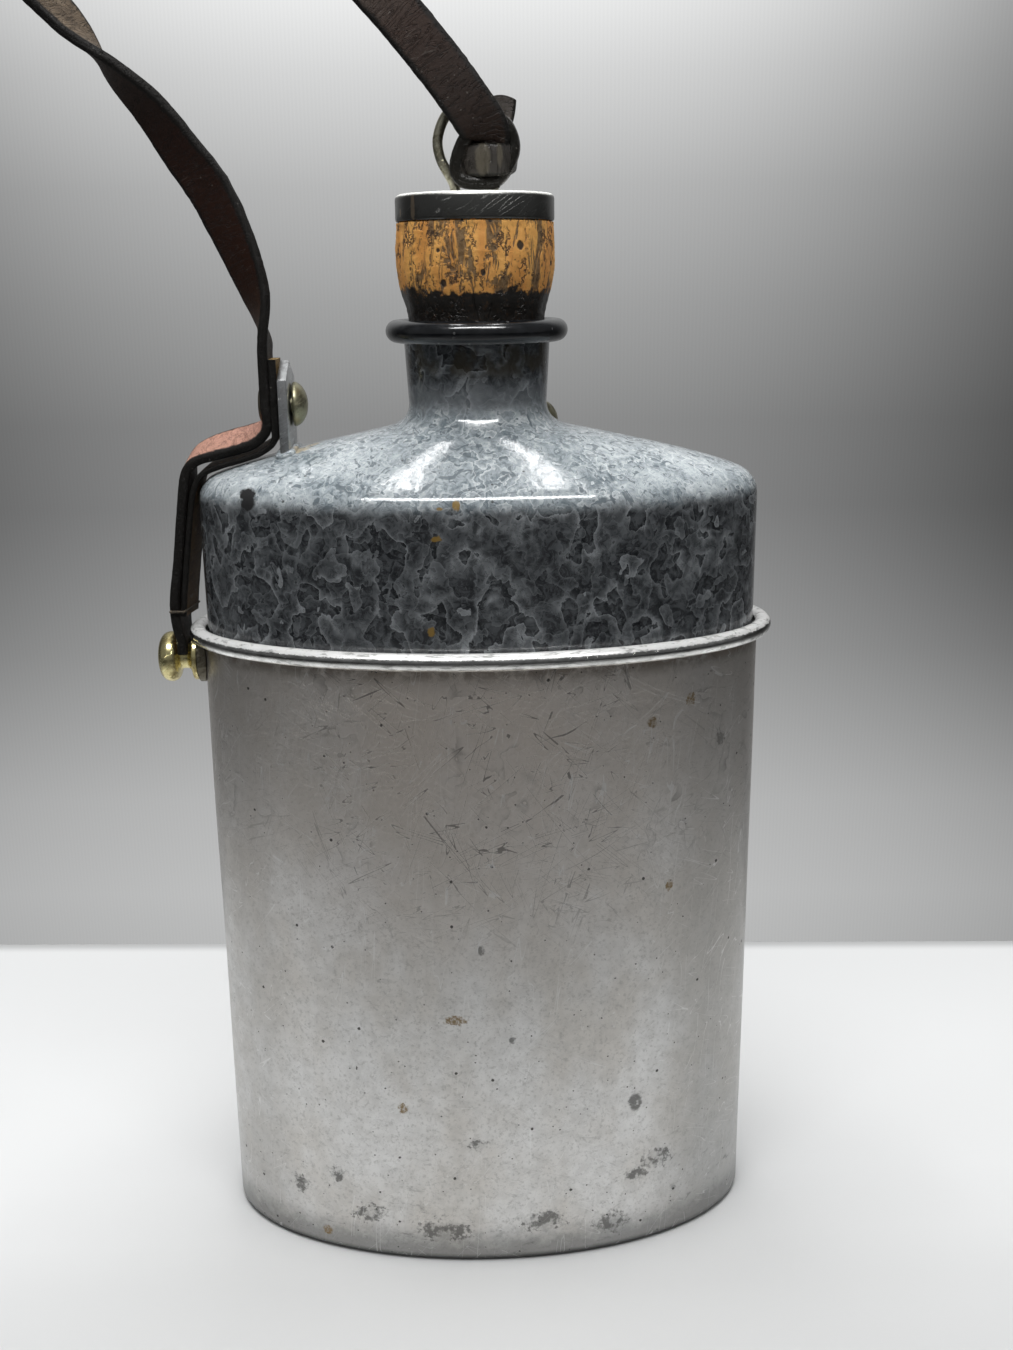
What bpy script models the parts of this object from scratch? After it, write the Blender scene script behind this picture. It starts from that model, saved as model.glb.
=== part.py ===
"""Enamelled field canteen standing in its drawn aluminium cup, with a leather strap.

Metres, +Z up. The origin is the centre of the cup's base, -Y is the front, and +X is
the right-hand side of the front view. The cup is oval in plan, the neck is round.
"""
import math

import bmesh
import bpy
from mathutils import Matrix, Vector

# Shared fits and facets
GAP = 0.0003
OVAL_STEPS = 48
ROUND_STEPS = 28
TINY = 1e-7

# Cup
CUP_HALF_WIDTH = 0.0663
CUP_HALF_DEPTH = 0.0344
CUP_WALL = 0.0007
CUP_CORNER = 0.0021
BEAD_RADIUS = 0.0020
BEAD_HEIGHT = 0.1537
BEAD_OUT = BEAD_RADIUS - CUP_WALL
RIM_WIRE_RADIUS = BEAD_RADIUS - CUP_WALL - GAP
CURL_STEPS = 6
CURL_START = 180
CURL_END = -110

# Bottle
CUP_FIT = 0.0004
BOTTLE_HALF_WIDTH = CUP_HALF_WIDTH - CUP_WALL - CUP_FIT
BOTTLE_HALF_DEPTH = CUP_HALF_DEPTH - CUP_WALL - CUP_FIT
BOTTLE_WALL = 0.0010
BOTTLE_FOOT = CUP_WALL + GAP
BODY_END = BOTTLE_FOOT + 0.0022
SHOULDER_BASE = 0.1844
SHOULDER_RISE = 0.0218
NECK_ROOT_RADIUS = 0.0158
NECK_RADIUS = 0.0167
NECK_HEIGHT = 0.0158
NECK_ROOT = SHOULDER_BASE + SHOULDER_RISE
BOTTLE_TOP = NECK_ROOT + NECK_HEIGHT
PAN_WALL = 0.0008
PAN_RECESS = 0.0012
PAN_FLANGE = 0.0070

# Each station of the shoulder is its share of the way in from the wall to the neck,
# at the sides and at the front, and its share of the rise.
SHOULDER = (
    (0.000, 0.000, 0.000),
    (0.006, 0.017, 0.110),
    (0.032, 0.080, 0.210),
    (0.081, 0.189, 0.295),
    (0.227, 0.360, 0.410),
    (0.429, 0.531, 0.528),
    (0.632, 0.669, 0.630),
    (0.804, 0.771, 0.711),
    (0.911, 0.851, 0.770),
    (0.964, 0.914, 0.834),
    (0.990, 0.971, 0.908),
    (1.000, 1.000, 1.000),
)

# Lip ring round the mouth
LIP_TUBE_RADIUS = 0.0025
LIP_CENTRE_RADIUS = NECK_RADIUS + 0.0015
LIP_HEIGHT = BOTTLE_TOP + 0.0004
LIP_STEPS = 12

# Stopper
CAP_RADIUS = 0.0177
CAP_WALL = 0.0006
CAP_SKIRT = 0.0057
CAP_EDGE = 0.0011
CAP_BOTTOM = BOTTLE_TOP + 0.0239
CAP_TOP = CAP_BOTTOM + CAP_SKIRT
CORK_FIT = 0.0006
CORK_MOUTH_RADIUS = LIP_CENTRE_RADIUS - LIP_TUBE_RADIUS - CORK_FIT
CORK_END_RADIUS = NECK_ROOT_RADIUS - BOTTLE_WALL - 0.0009
CORK_WIDEST = 0.01805
CORK_SINK = 0.0157
CORK_BOTTOM = BOTTLE_TOP - CORK_SINK
EYE_WIRE_RADIUS = 0.00115
EYE_LEG = 0.0042
WASHER_RADIUS = 0.0090
WASHER_THICKNESS = 0.0010
WASHER_TOP = CORK_BOTTOM - GAP
WASHER_BOTTOM = WASHER_TOP - WASHER_THICKNESS

# Strap lug on the left shoulder
LUG_FACE = -0.0428
LUG_THICKNESS = 0.0022
LUG_HALF_WIDTH = 0.0080
LUG_SIDE_TOP = SHOULDER_BASE + 0.0279
LUG_PEAK = LUG_SIDE_TOP + 0.0040
LUG_ROOT = SHOULDER_BASE + 0.0056
LUG_CHAMFER = 0.0004
RIVET_HEIGHT = LUG_SIDE_TOP - 0.0059
RIVET_SHANK = 0.00175
RIVET_HEAD_RADIUS = 0.0050
RIVET_HEAD_HEIGHT = 0.0035
BURR_RADIUS = 0.0040
BURR_THICKNESS = 0.0008

# Leather
STRAP_WIDTH = 0.0105
STRAP_THICKNESS = 0.0023
LINING_WIDTH = 0.0098
LINING_THICKNESS = 0.0015
HITCH_WIDTH = 0.0085
TIP_WIDTH = 0.0082
THREAD_RADIUS = 0.00035
LINING_X = LUG_FACE - LUG_THICKNESS - GAP - LINING_THICKNESS / 2
STRAP_X = LINING_X - LINING_THICKNESS / 2 - GAP - STRAP_THICKNESS / 2
TAIL_X = -(CUP_HALF_WIDTH + BEAD_OUT + BEAD_RADIUS + GAP + STRAP_THICKNESS / 2)

# Brass stud on the cup's left side; distances are out from the cup's centre
STUD_HEIGHT = BEAD_HEIGHT - 0.0067
STUD_SHANK = 0.0020
STUD_NECK = 0.0030
STUD_FLANGE = 0.00575
STUD_HEAD = 0.0060
STUD_HEAD_LENGTH = 0.0050
STUD_FLARE = 0.0007
STUD_HEAD_INNER = -TAIL_X + STRAP_THICKNESS / 2 + GAP
STUD_HEAD_OUTER = STUD_HEAD_INNER + STUD_HEAD_LENGTH
STUD_FLANGE_FACE = -TAIL_X - STRAP_THICKNESS / 2 - STUD_FLARE
STUD_WASHER_RADIUS = 0.0062
STUD_WASHER_FACE = CUP_HALF_WIDTH + 0.0013

# Brass button on the rear shoulder
BUTTON_X = 0.0132
BUTTON_Y = 0.0176
BUTTON_RADIUS = 0.0050
BUTTON_TOP = NECK_ROOT - 0.0013
BUTTON_ROOT = SHOULDER_BASE + 0.0086

# Points that the leather and the wire are laid out from
EYE_FOOT = Vector((0.0, 0.0, CAP_TOP))
LEFT_LEG = Vector((-EYE_LEG, 0.0, CAP_TOP))
RIGHT_LEG = Vector((EYE_LEG, 0.0, CAP_TOP))
STRAP_AT_RIVET = Vector((STRAP_X, 0.0, RIVET_HEIGHT))
LINING_AT_RIVET = Vector((LINING_X, 0.0, RIVET_HEIGHT))
SHOULDER_EDGE = Vector((-BOTTLE_HALF_WIDTH, 0.0, SHOULDER_BASE))
WALL_AT_STUD = Vector((-CUP_HALF_WIDTH, 0.0, STUD_HEIGHT))
TAIL_AT_STUD = Vector((TAIL_X, 0.0, STUD_HEIGHT))
TAIL_PIVOT = SHOULDER_EDGE + Vector((0.0007, 0.0, 0.0076))


def clear_scene():
    for thing in list(bpy.data.objects):
        bpy.data.objects.remove(thing, do_unlink=True)


def make_collection(name):
    collection = bpy.data.collections.new(name)
    bpy.context.scene.collection.children.link(collection)
    return collection


def make_material(name, colour, metallic, roughness):
    material = bpy.data.materials.new(name)
    material.use_nodes = True
    shader = material.node_tree.nodes["Principled BSDF"]
    shader.inputs["Base Color"].default_value = (*colour, 1.0)
    shader.inputs["Metallic"].default_value = metallic
    shader.inputs["Roughness"].default_value = roughness
    return material


clear_scene()
PARTS = make_collection("field_canteen")
CUTTERS = make_collection("cutters")

ALUMINIUM = make_material("cup_aluminium", (0.56, 0.55, 0.54), 1.0, 0.42)
STEEL_WIRE = make_material("rim_wire_steel", (0.45, 0.44, 0.42), 1.0, 0.45)
ENAMEL = make_material("grey_enamel", (0.20, 0.23, 0.27), 0.0, 0.18)
BLACK_ENAMEL = make_material("black_lip_enamel", (0.01, 0.01, 0.012), 0.0, 0.12)
LUG_METAL = make_material("bare_lug_metal", (0.62, 0.61, 0.58), 1.0, 0.35)
RIVET_BRASS = make_material("aged_rivet_brass", (0.42, 0.38, 0.28), 1.0, 0.38)
STUD_BRASS = make_material("polished_stud_brass", (0.72, 0.60, 0.32), 1.0, 0.25)
WASHER_METAL = make_material("dark_washer_metal", (0.16, 0.15, 0.14), 1.0, 0.50)
CORK = make_material("stopper_cork", (0.55, 0.31, 0.13), 0.0, 0.85)
CAP_METAL = make_material("tarnished_cap_metal", (0.20, 0.20, 0.19), 1.0, 0.40)
EYE_METAL = make_material("eye_wire_metal", (0.40, 0.38, 0.30), 1.0, 0.40)
LEATHER = make_material("strap_leather", (0.055, 0.028, 0.020), 0.0, 0.55)
LINING = make_material("lining_leather", (0.17, 0.075, 0.045), 0.0, 0.75)
THREAD = make_material("linen_thread", (0.46, 0.36, 0.22), 0.0, 0.80)


def add_object(name, bm, material, collection=PARTS, smooth=True):
    bmesh.ops.recalc_face_normals(bm, faces=bm.faces[:])
    mesh = bpy.data.meshes.new(name)
    bm.to_mesh(mesh)
    bm.free()
    return add_mesh(name, mesh, material, collection, smooth)


def add_mesh(name, mesh, material, collection=PARTS, smooth=True):
    thing = bpy.data.objects.new(name, mesh)
    collection.objects.link(thing)
    if material is not None:
        mesh.materials.clear()
        mesh.materials.append(material)
    for face in mesh.polygons:
        face.use_smooth = smooth
    if collection is CUTTERS:
        thing.hide_render = True
        thing.display_type = "WIRE"
    return thing


def cut(thing, cutter):
    boolean = thing.modifiers.new("cut " + cutter.name, "BOOLEAN")
    boolean.operation = "DIFFERENCE"
    boolean.solver = "EXACT"
    boolean.object = cutter


def oval_ring(bm, half_x, half_y, z_side, z_front):
    """One oval loop, or a single point when the half width is nothing."""
    if half_x < TINY:
        return [bm.verts.new((0.0, 0.0, z_side))]
    loop = []
    for step in range(OVAL_STEPS):
        turn = 2 * math.pi * step / OVAL_STEPS
        along, across = math.cos(turn), math.sin(turn)
        height = z_side * along ** 2 + z_front * across ** 2
        loop.append(bm.verts.new((half_x * along, half_y * across, height)))
    return loop


def skin(bm, first, second):
    for step in range(OVAL_STEPS):
        after = (step + 1) % OVAL_STEPS
        if len(first) == 1:
            bm.faces.new((first[0], second[step], second[after]))
        elif len(second) == 1:
            bm.faces.new((first[step], first[after], second[0]))
        else:
            bm.faces.new((first[step], first[after], second[after], second[step]))


def oval_loft(name, rings, material, collection=PARTS, closed=False):
    bm = bmesh.new()
    loops = [oval_ring(bm, *ring) for ring in rings]
    for first, second in zip(loops, loops[1:]):
        skin(bm, first, second)
    if closed:
        skin(bm, loops[-1], loops[0])
    return add_object(name, bm, material, collection)


def cup_ring(out, height):
    """A level ring that stands out from the cup's outer wall by a set amount."""
    return (CUP_HALF_WIDTH + out, CUP_HALF_DEPTH + out, height, height)


def bottle_ring(out, height):
    """A level ring that stands out from the bottle's outer wall by a set amount."""
    return (BOTTLE_HALF_WIDTH + out, BOTTLE_HALF_DEPTH + out, height, height)


def centre_point(height):
    return (0.0, 0.0, height, height)


def curl(radius, start, end, steps):
    """Rings of the rolled bead, from one angle of its section to another."""
    rings = []
    for step in range(steps + 1):
        turn = math.radians(start + (end - start) * step / steps)
        out = BEAD_OUT + radius * math.cos(turn)
        rings.append(cup_ring(out, BEAD_HEIGHT + radius * math.sin(turn)))
    return rings


def section_normal(points, index):
    """Outward normal of a section that runs upwards on its outer side."""
    before = points[max(index - 1, 0)]
    after = points[min(index + 1, len(points) - 1)]
    run, rise = after[0] - before[0], after[1] - before[1]
    length = math.hypot(run, rise)
    return rise / length, -run / length


def moved_shell(rings, amount):
    """The same rings moved along the wall's own normal; inwards when negative."""
    sides = [(ring[0], ring[2]) for ring in rings]
    fronts = [(ring[1], ring[3]) for ring in rings]
    moved = []
    for index in range(len(rings)):
        side_out, side_up = section_normal(sides, index)
        front_out, front_up = section_normal(fronts, index)
        moved.append((
            sides[index][0] + amount * side_out,
            fronts[index][0] + amount * front_out,
            sides[index][1] + amount * side_up,
            fronts[index][1] + amount * front_up,
        ))
    return moved


def turned(name, profile, material, closed=False):
    """A piece turned about the Z axis from a profile of radius and height."""
    bm = bmesh.new()
    verts = [bm.verts.new((radius, 0.0, height)) for radius, height in profile]
    for first, second in zip(verts, verts[1:]):
        bm.edges.new((first, second))
    if closed:
        bm.edges.new((verts[-1], verts[0]))
    mesh = bpy.data.meshes.new(name)
    bm.to_mesh(mesh)
    bm.free()
    thing = add_mesh(name, mesh, material)
    screw = thing.modifiers.new("turn", "SCREW")
    screw.axis = "Z"
    screw.angle = 2 * math.pi
    screw.steps = ROUND_STEPS
    screw.render_steps = ROUND_STEPS
    screw.use_merge_vertices = True
    screw.merge_threshold = 0.00001
    screw.use_smooth_shade = True
    return thing


def stand(thing, place, axis="Z"):
    """Put a turned piece in place, its +Z end towards +Z, +X or -X."""
    turns = {"Z": 0.0, "+X": math.pi / 2, "-X": -math.pi / 2}
    thing.rotation_euler = (0.0, turns[axis], 0.0)
    thing.location = place


def rod_cutter(name, radius, start, end):
    """A plain round cutter between two points."""
    start, end = Vector(start), Vector(end)
    direction = end - start
    turn = direction.to_track_quat("Z", "Y").to_matrix().to_4x4()
    bm = bmesh.new()
    bmesh.ops.create_cone(
        bm, cap_ends=True, segments=ROUND_STEPS, radius1=radius, radius2=radius,
        depth=direction.length,
        matrix=Matrix.Translation((start + end) / 2) @ turn)
    return add_object(name, bm, None, CUTTERS, smooth=False)


def curve_to_mesh(name, curve, matrix, material):
    """Turn a curve into a welded solid in the object frame."""
    source = bpy.data.objects.new(name + "_path", curve)
    source.matrix_world = matrix
    PARTS.objects.link(source)
    bpy.context.view_layer.update()
    evaluated = source.evaluated_get(bpy.context.evaluated_depsgraph_get())
    mesh = bpy.data.meshes.new_from_object(evaluated)
    mesh.transform(source.matrix_world)
    bpy.data.objects.remove(source, do_unlink=True)
    bm = bmesh.new()
    bm.from_mesh(mesh)
    bmesh.ops.remove_doubles(bm, verts=bm.verts[:], dist=0.00002)
    bpy.data.meshes.remove(mesh)
    return add_object(name, bm, material)


def smooth_route(stops, steps=2):
    """Points on an even curve through the stops; any further values go along."""
    route = []
    last = len(stops) - 1
    for index in range(last):
        before = stops[max(index - 1, 0)]
        start, end = stops[index], stops[index + 1]
        after = stops[min(index + 2, last)]
        for step in range(steps):
            t = step / steps
            route.append([
                0.5 * (2 * b + (c - a) * t + (2 * a - 5 * b + 4 * c - d) * t ** 2
                       + (3 * b - a - 3 * c + d) * t ** 3)
                for a, b, c, d in zip(before, start, end, after)])
    route.append(list(stops[last]))
    return route


def new_path(name, route, matrix, cyclic=False):
    curve = bpy.data.curves.new(name, "CURVE")
    curve.dimensions = "3D"
    spline = curve.splines.new("POLY")
    spline.points.add(len(route) - 1)
    back = matrix.inverted()
    for point, stop in zip(spline.points, route):
        point.co = (*(back @ Vector(stop[:3])), 1.0)
        if len(stop) > 3:
            point.tilt = math.radians(stop[3])
    spline.use_cyclic_u = cyclic
    return curve


def wire(name, route, radius, material, cyclic=False):
    curve = new_path(name, route, Matrix.Identity(4), cyclic)
    curve.bevel_depth = radius
    curve.bevel_resolution = 2
    curve.use_fill_caps = not cyclic
    return curve_to_mesh(name, curve, Matrix.Identity(4), material)


def ribbon(name, route, width, thickness, material, width_axis="Y"):
    """A leather strip along a route of x, y, z and twist in degrees.

    With no twist its width lies along the named axis.
    """
    turns = {
        "X": Matrix.Rotation(math.pi / 2, 4, "Y"),
        "Y": Matrix.Rotation(math.pi / 2, 4, "X"),
        "Z": Matrix.Identity(4),
    }
    matrix = turns[width_axis]
    curve = new_path(name, route, matrix)
    curve.twist_mode = "Z_UP"
    curve.extrude = (width - thickness) / 2
    curve.bevel_depth = thickness / 2
    curve.bevel_resolution = 1
    curve.use_fill_caps = True
    return curve_to_mesh(name, curve, matrix, material)


def near(anchor, x, y, z, *twist):
    """A route stop: millimetres from an anchor, then any twist in degrees."""
    return tuple(anchor + Vector((x, y, z)) / 1000) + twist


def build_cup():
    outer_curl = curl(BEAD_RADIUS, CURL_END, CURL_START, CURL_STEPS)
    inner_curl = curl(BEAD_OUT, CURL_START, CURL_END, CURL_STEPS)
    round_off = 0.3
    inner_corner = CUP_CORNER - CUP_WALL
    outside = [
        centre_point(0.0),
        cup_ring(-CUP_CORNER, 0.0),
        cup_ring(-round_off * CUP_CORNER, round_off * CUP_CORNER),
        cup_ring(0.0, CUP_CORNER),
    ]
    inside = [
        cup_ring(-CUP_WALL, CUP_CORNER),
        cup_ring(-CUP_WALL - round_off * inner_corner, CUP_WALL + round_off * inner_corner),
        cup_ring(-CUP_CORNER, CUP_WALL),
        centre_point(CUP_WALL),
    ]
    shell = oval_loft("cup_shell", outside + inner_curl + outer_curl + inside, ALUMINIUM)
    wire_rings = curl(RIM_WIRE_RADIUS, 360, 45, CURL_STEPS)
    oval_loft("rim_wire", wire_rings, STEEL_WIRE, closed=True)
    reach = Vector((4 * CUP_WALL, 0.0, 0.0))
    stud_bore = rod_cutter(
        "stud_bore", STUD_SHANK + GAP, WALL_AT_STUD - reach, WALL_AT_STUD + reach)
    cut(shell, stud_bore)


def build_stud():
    """Turned stud whose shank is riveted flush in the cup wall."""
    shank_end = CUP_HALF_WIDTH - CUP_WALL + GAP / 2
    flange_back = STUD_WASHER_FACE + GAP
    stud = turned("cup_stud", (
        (0.0, STUD_HEAD_OUTER),
        (STUD_HEAD * 0.60, STUD_HEAD_OUTER - 0.0003),
        (STUD_HEAD * 0.90, STUD_HEAD_OUTER - 0.0013),
        (STUD_HEAD, STUD_HEAD_OUTER - 0.0026),
        (STUD_HEAD * 0.92, STUD_HEAD_INNER + 0.0010),
        (STUD_HEAD * 0.72, STUD_HEAD_INNER),
        (STUD_NECK, STUD_HEAD_INNER),
        (STUD_NECK, STUD_FLANGE_FACE + STUD_FLARE),
        (STUD_NECK + 0.0006, STUD_FLANGE_FACE + 0.0003),
        (STUD_FLANGE - 0.0005, STUD_FLANGE_FACE),
        (STUD_FLANGE, STUD_FLANGE_FACE - 0.0004),
        (STUD_FLANGE, flange_back),
        (STUD_SHANK, flange_back),
        (STUD_SHANK, shank_end),
        (0.0, shank_end),
    ), STUD_BRASS)
    stand(stud, (0.0, 0.0, STUD_HEIGHT), "-X")

    washer_back = STUD_WASHER_FACE - 0.0038
    bore = STUD_SHANK + GAP
    washer = turned("stud_washer", (
        (STUD_WASHER_RADIUS, STUD_WASHER_FACE),
        (STUD_WASHER_RADIUS, washer_back),
        (bore, washer_back),
        (bore, STUD_WASHER_FACE),
    ), WASHER_METAL, closed=True)
    stand(washer, (0.0, 0.0, STUD_HEIGHT), "-X")
    bead_form = oval_loft(
        "bead_form", curl(BEAD_RADIUS + GAP, 360, 30, 2 * CURL_STEPS), None, CUTTERS, closed=True)
    cut(stud, bead_form)
    cut(washer, bead_form)
    reach = 3 * STUD_WASHER_RADIUS
    cup_form = oval_loft("cup_form", [
        centre_point(STUD_HEIGHT - reach),
        cup_ring(GAP, STUD_HEIGHT - reach),
        cup_ring(GAP, STUD_HEIGHT + reach),
        centre_point(STUD_HEIGHT + reach),
    ], None, CUTTERS)
    cut(washer, cup_form)


def bottle_outline():
    """Rings up the bottle's outer side, from the wall's lower end to the mouth."""
    rings = [bottle_ring(0.0, BODY_END)]
    for side_in, front_in, share in SHOULDER:
        half_x = BOTTLE_HALF_WIDTH + (NECK_ROOT_RADIUS - BOTTLE_HALF_WIDTH) * side_in
        half_y = BOTTLE_HALF_DEPTH + (NECK_ROOT_RADIUS - BOTTLE_HALF_DEPTH) * front_in
        height = SHOULDER_BASE + SHOULDER_RISE * share
        rings.append((half_x, half_y, height, height))
    for share in (0.4, 1.0):
        radius = NECK_ROOT_RADIUS + (NECK_RADIUS - NECK_ROOT_RADIUS) * share
        height = NECK_ROOT + NECK_HEIGHT * share
        rings.append((radius, radius, height, height))
    return rings


def build_bottle():
    outside = bottle_outline()
    inside = moved_shell(outside, -BOTTLE_WALL)
    oval_loft("bottle_body", outside + inside[::-1], ENAMEL, closed=True)

    flange = -BOTTLE_WALL - GAP
    inner = flange - PAN_WALL
    foot = BOTTLE_FOOT
    recess = foot + PAN_RECESS
    oval_loft("bottle_base", [
        centre_point(recess),
        bottle_ring(inner - 0.0032, recess),
        bottle_ring(inner - 0.0014, foot),
        bottle_ring(flange - 0.0006, foot),
        bottle_ring(flange, foot + 0.0006),
        bottle_ring(flange, foot + PAN_FLANGE),
        bottle_ring(inner, foot + PAN_FLANGE),
        bottle_ring(inner, foot + PAN_WALL + 0.0003),
        bottle_ring(inner - 0.0010, foot + PAN_WALL),
        bottle_ring(inner - 0.0028, recess + PAN_WALL),
        centre_point(recess + PAN_WALL),
    ], ENAMEL)

    shoulder = moved_shell(outside, GAP)
    return oval_loft(
        "shoulder_form", [centre_point(BODY_END)] + shoulder + [centre_point(BOTTLE_TOP)],
        None, CUTTERS)


def build_lip_ring():
    """A rolled ring with a groove underneath that sits down over the neck's end."""
    groove = NECK_RADIUS + GAP
    seat = BOTTLE_TOP + GAP
    start = math.acos((groove - LIP_CENTRE_RADIUS) / LIP_TUBE_RADIUS)
    end = math.pi - math.asin((seat - LIP_HEIGHT) / LIP_TUBE_RADIUS)
    profile = [(groove, seat)]
    for step in range(LIP_STEPS + 1):
        turn = end + (-start - end) * step / LIP_STEPS
        profile.append((
            LIP_CENTRE_RADIUS + LIP_TUBE_RADIUS * math.cos(turn),
            LIP_HEIGHT + LIP_TUBE_RADIUS * math.sin(turn)))
    turned("lip_ring", profile, BLACK_ENAMEL, closed=True)


def build_stopper():
    under_cap = CAP_RADIUS - CAP_WALL - GAP
    cork_top = CAP_TOP - CAP_WALL - GAP
    cork_step = CAP_BOTTOM - GAP
    cork = turned("stopper_cork", (
        (0.0, cork_top),
        (under_cap - 0.0005, cork_top),
        (under_cap, cork_top - 0.0005),
        (under_cap, cork_step),
        (CAP_RADIUS - 0.0002, cork_step),
        (CORK_WIDEST - 0.00015, BOTTLE_TOP + 0.0200),
        (CORK_WIDEST, BOTTLE_TOP + 0.0158),
        (CORK_WIDEST - 0.00115, BOTTLE_TOP + 0.0100),
        (CORK_MOUTH_RADIUS + 0.0001, BOTTLE_TOP + 0.0030),
        (CORK_MOUTH_RADIUS, BOTTLE_TOP),
        (CORK_END_RADIUS, CORK_BOTTOM + 0.0006),
        (CORK_END_RADIUS - 0.0005, CORK_BOTTOM),
        (0.0, CORK_BOTTOM),
    ), CORK)
    cap = turned("stopper_cap", (
        (0.0, CAP_TOP),
        (CAP_RADIUS - CAP_EDGE, CAP_TOP),
        (CAP_RADIUS - 0.0004, CAP_TOP - 0.0004),
        (CAP_RADIUS, CAP_TOP - CAP_EDGE),
        (CAP_RADIUS, CAP_BOTTOM),
        (CAP_RADIUS - CAP_WALL, CAP_BOTTOM),
        (CAP_RADIUS - CAP_WALL, CAP_TOP - CAP_EDGE),
        (CAP_RADIUS - CAP_WALL - 0.0005, CAP_TOP - CAP_WALL),
        (0.0, CAP_TOP - CAP_WALL),
    ), CAP_METAL)
    washer = turned("eye_washer", (
        (0.0, WASHER_TOP),
        (WASHER_RADIUS, WASHER_TOP),
        (WASHER_RADIUS, WASHER_BOTTOM),
        (0.0, WASHER_BOTTOM),
    ), WASHER_METAL)
    below = Vector((0.0, 0.0, WASHER_BOTTOM - CAP_TOP - 0.003))
    above = Vector((0.0, 0.0, 0.004))
    for label, leg in (("left", LEFT_LEG), ("right", RIGHT_LEG)):
        leg_bore = rod_cutter(
            "leg_bore_" + label, EYE_WIRE_RADIUS + GAP, leg + below, leg + above)
        for piece in (cork, cap, washer):
            cut(piece, leg_bore)

    toe = (WASHER_BOTTOM - EYE_WIRE_RADIUS - GAP - CAP_TOP) * 1000
    left_leg = [
        near(LEFT_LEG, -5.2, 0, toe),
        near(LEFT_LEG, -1.8, 0, toe),
        near(LEFT_LEG, -0.45, 0, toe + 0.4),
        near(LEFT_LEG, 0, 0, toe + 1.6),
        near(LEFT_LEG, 0, 0, toe / 2),
        near(LEFT_LEG, 0, 0, 0),
    ]
    loop = smooth_route([
        near(LEFT_LEG, 0, 0, 0.3),
        near(LEFT_LEG, -0.5, 0, 2.7),
        near(LEFT_LEG, -3.2, 0, 7.7),
        near(LEFT_LEG, -3.55, 0, 12.4),
        near(LEFT_LEG, -1.0, 0, 17.2),
        near(EYE_FOOT, -0.4, 0, 18.3),
        near(RIGHT_LEG, -0.5, 0, 16.6),
        near(RIGHT_LEG, 1.4, 0, 12.4),
        near(RIGHT_LEG, 1.4, 0, 7.7),
        near(RIGHT_LEG, 0.3, 0, 2.7),
        near(RIGHT_LEG, 0, 0, 0.3),
    ])
    right_leg = [(-x, y, z) for x, y, z in reversed(left_leg)]
    wire("stopper_eye", left_leg + loop + right_leg, EYE_WIRE_RADIUS, EYE_METAL)


def build_hitch():
    """The end of the strap: a turn round the eye's right leg, and its tip."""
    level = 7.05
    around = smooth_route([
        near(EYE_FOOT, -2.6, 3.4, level, 0),
        near(EYE_FOOT, -2.8, -1.2, level, 0),
        near(EYE_FOOT, -0.9, -5.2, level, 0),
        near(EYE_FOOT, 3.0, -6.9, level, 0),
        near(EYE_FOOT, 6.9, -5.2, level, 0),
        near(EYE_FOOT, 8.5, -1.0, level, 0),
        near(EYE_FOOT, 7.5, 3.2, level, 0),
        near(EYE_FOOT, 4.0, 5.0, level, 0),
        near(EYE_FOOT, 1.2, 5.2, level, 0),
    ])
    ribbon("hitch_turn", around, HITCH_WIDTH, STRAP_THICKNESS, LEATHER, "Z")
    through = smooth_route([
        near(EYE_FOOT, -1.0, -3.2, 14.0, 0),
        near(EYE_FOOT, -1.0, 0.4, 14.0, 0),
        near(EYE_FOOT, -0.7, 3.6, 14.4, 0),
        near(EYE_FOOT, 1.2, 5.6, 16.0, 0),
        near(EYE_FOOT, 3.8, 6.2, 18.0, 0),
        near(EYE_FOOT, 6.6, 6.2, 20.3, 0),
    ])
    ribbon("strap_tip", through, TIP_WIDTH, STRAP_THICKNESS, LEATHER, "X")


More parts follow.
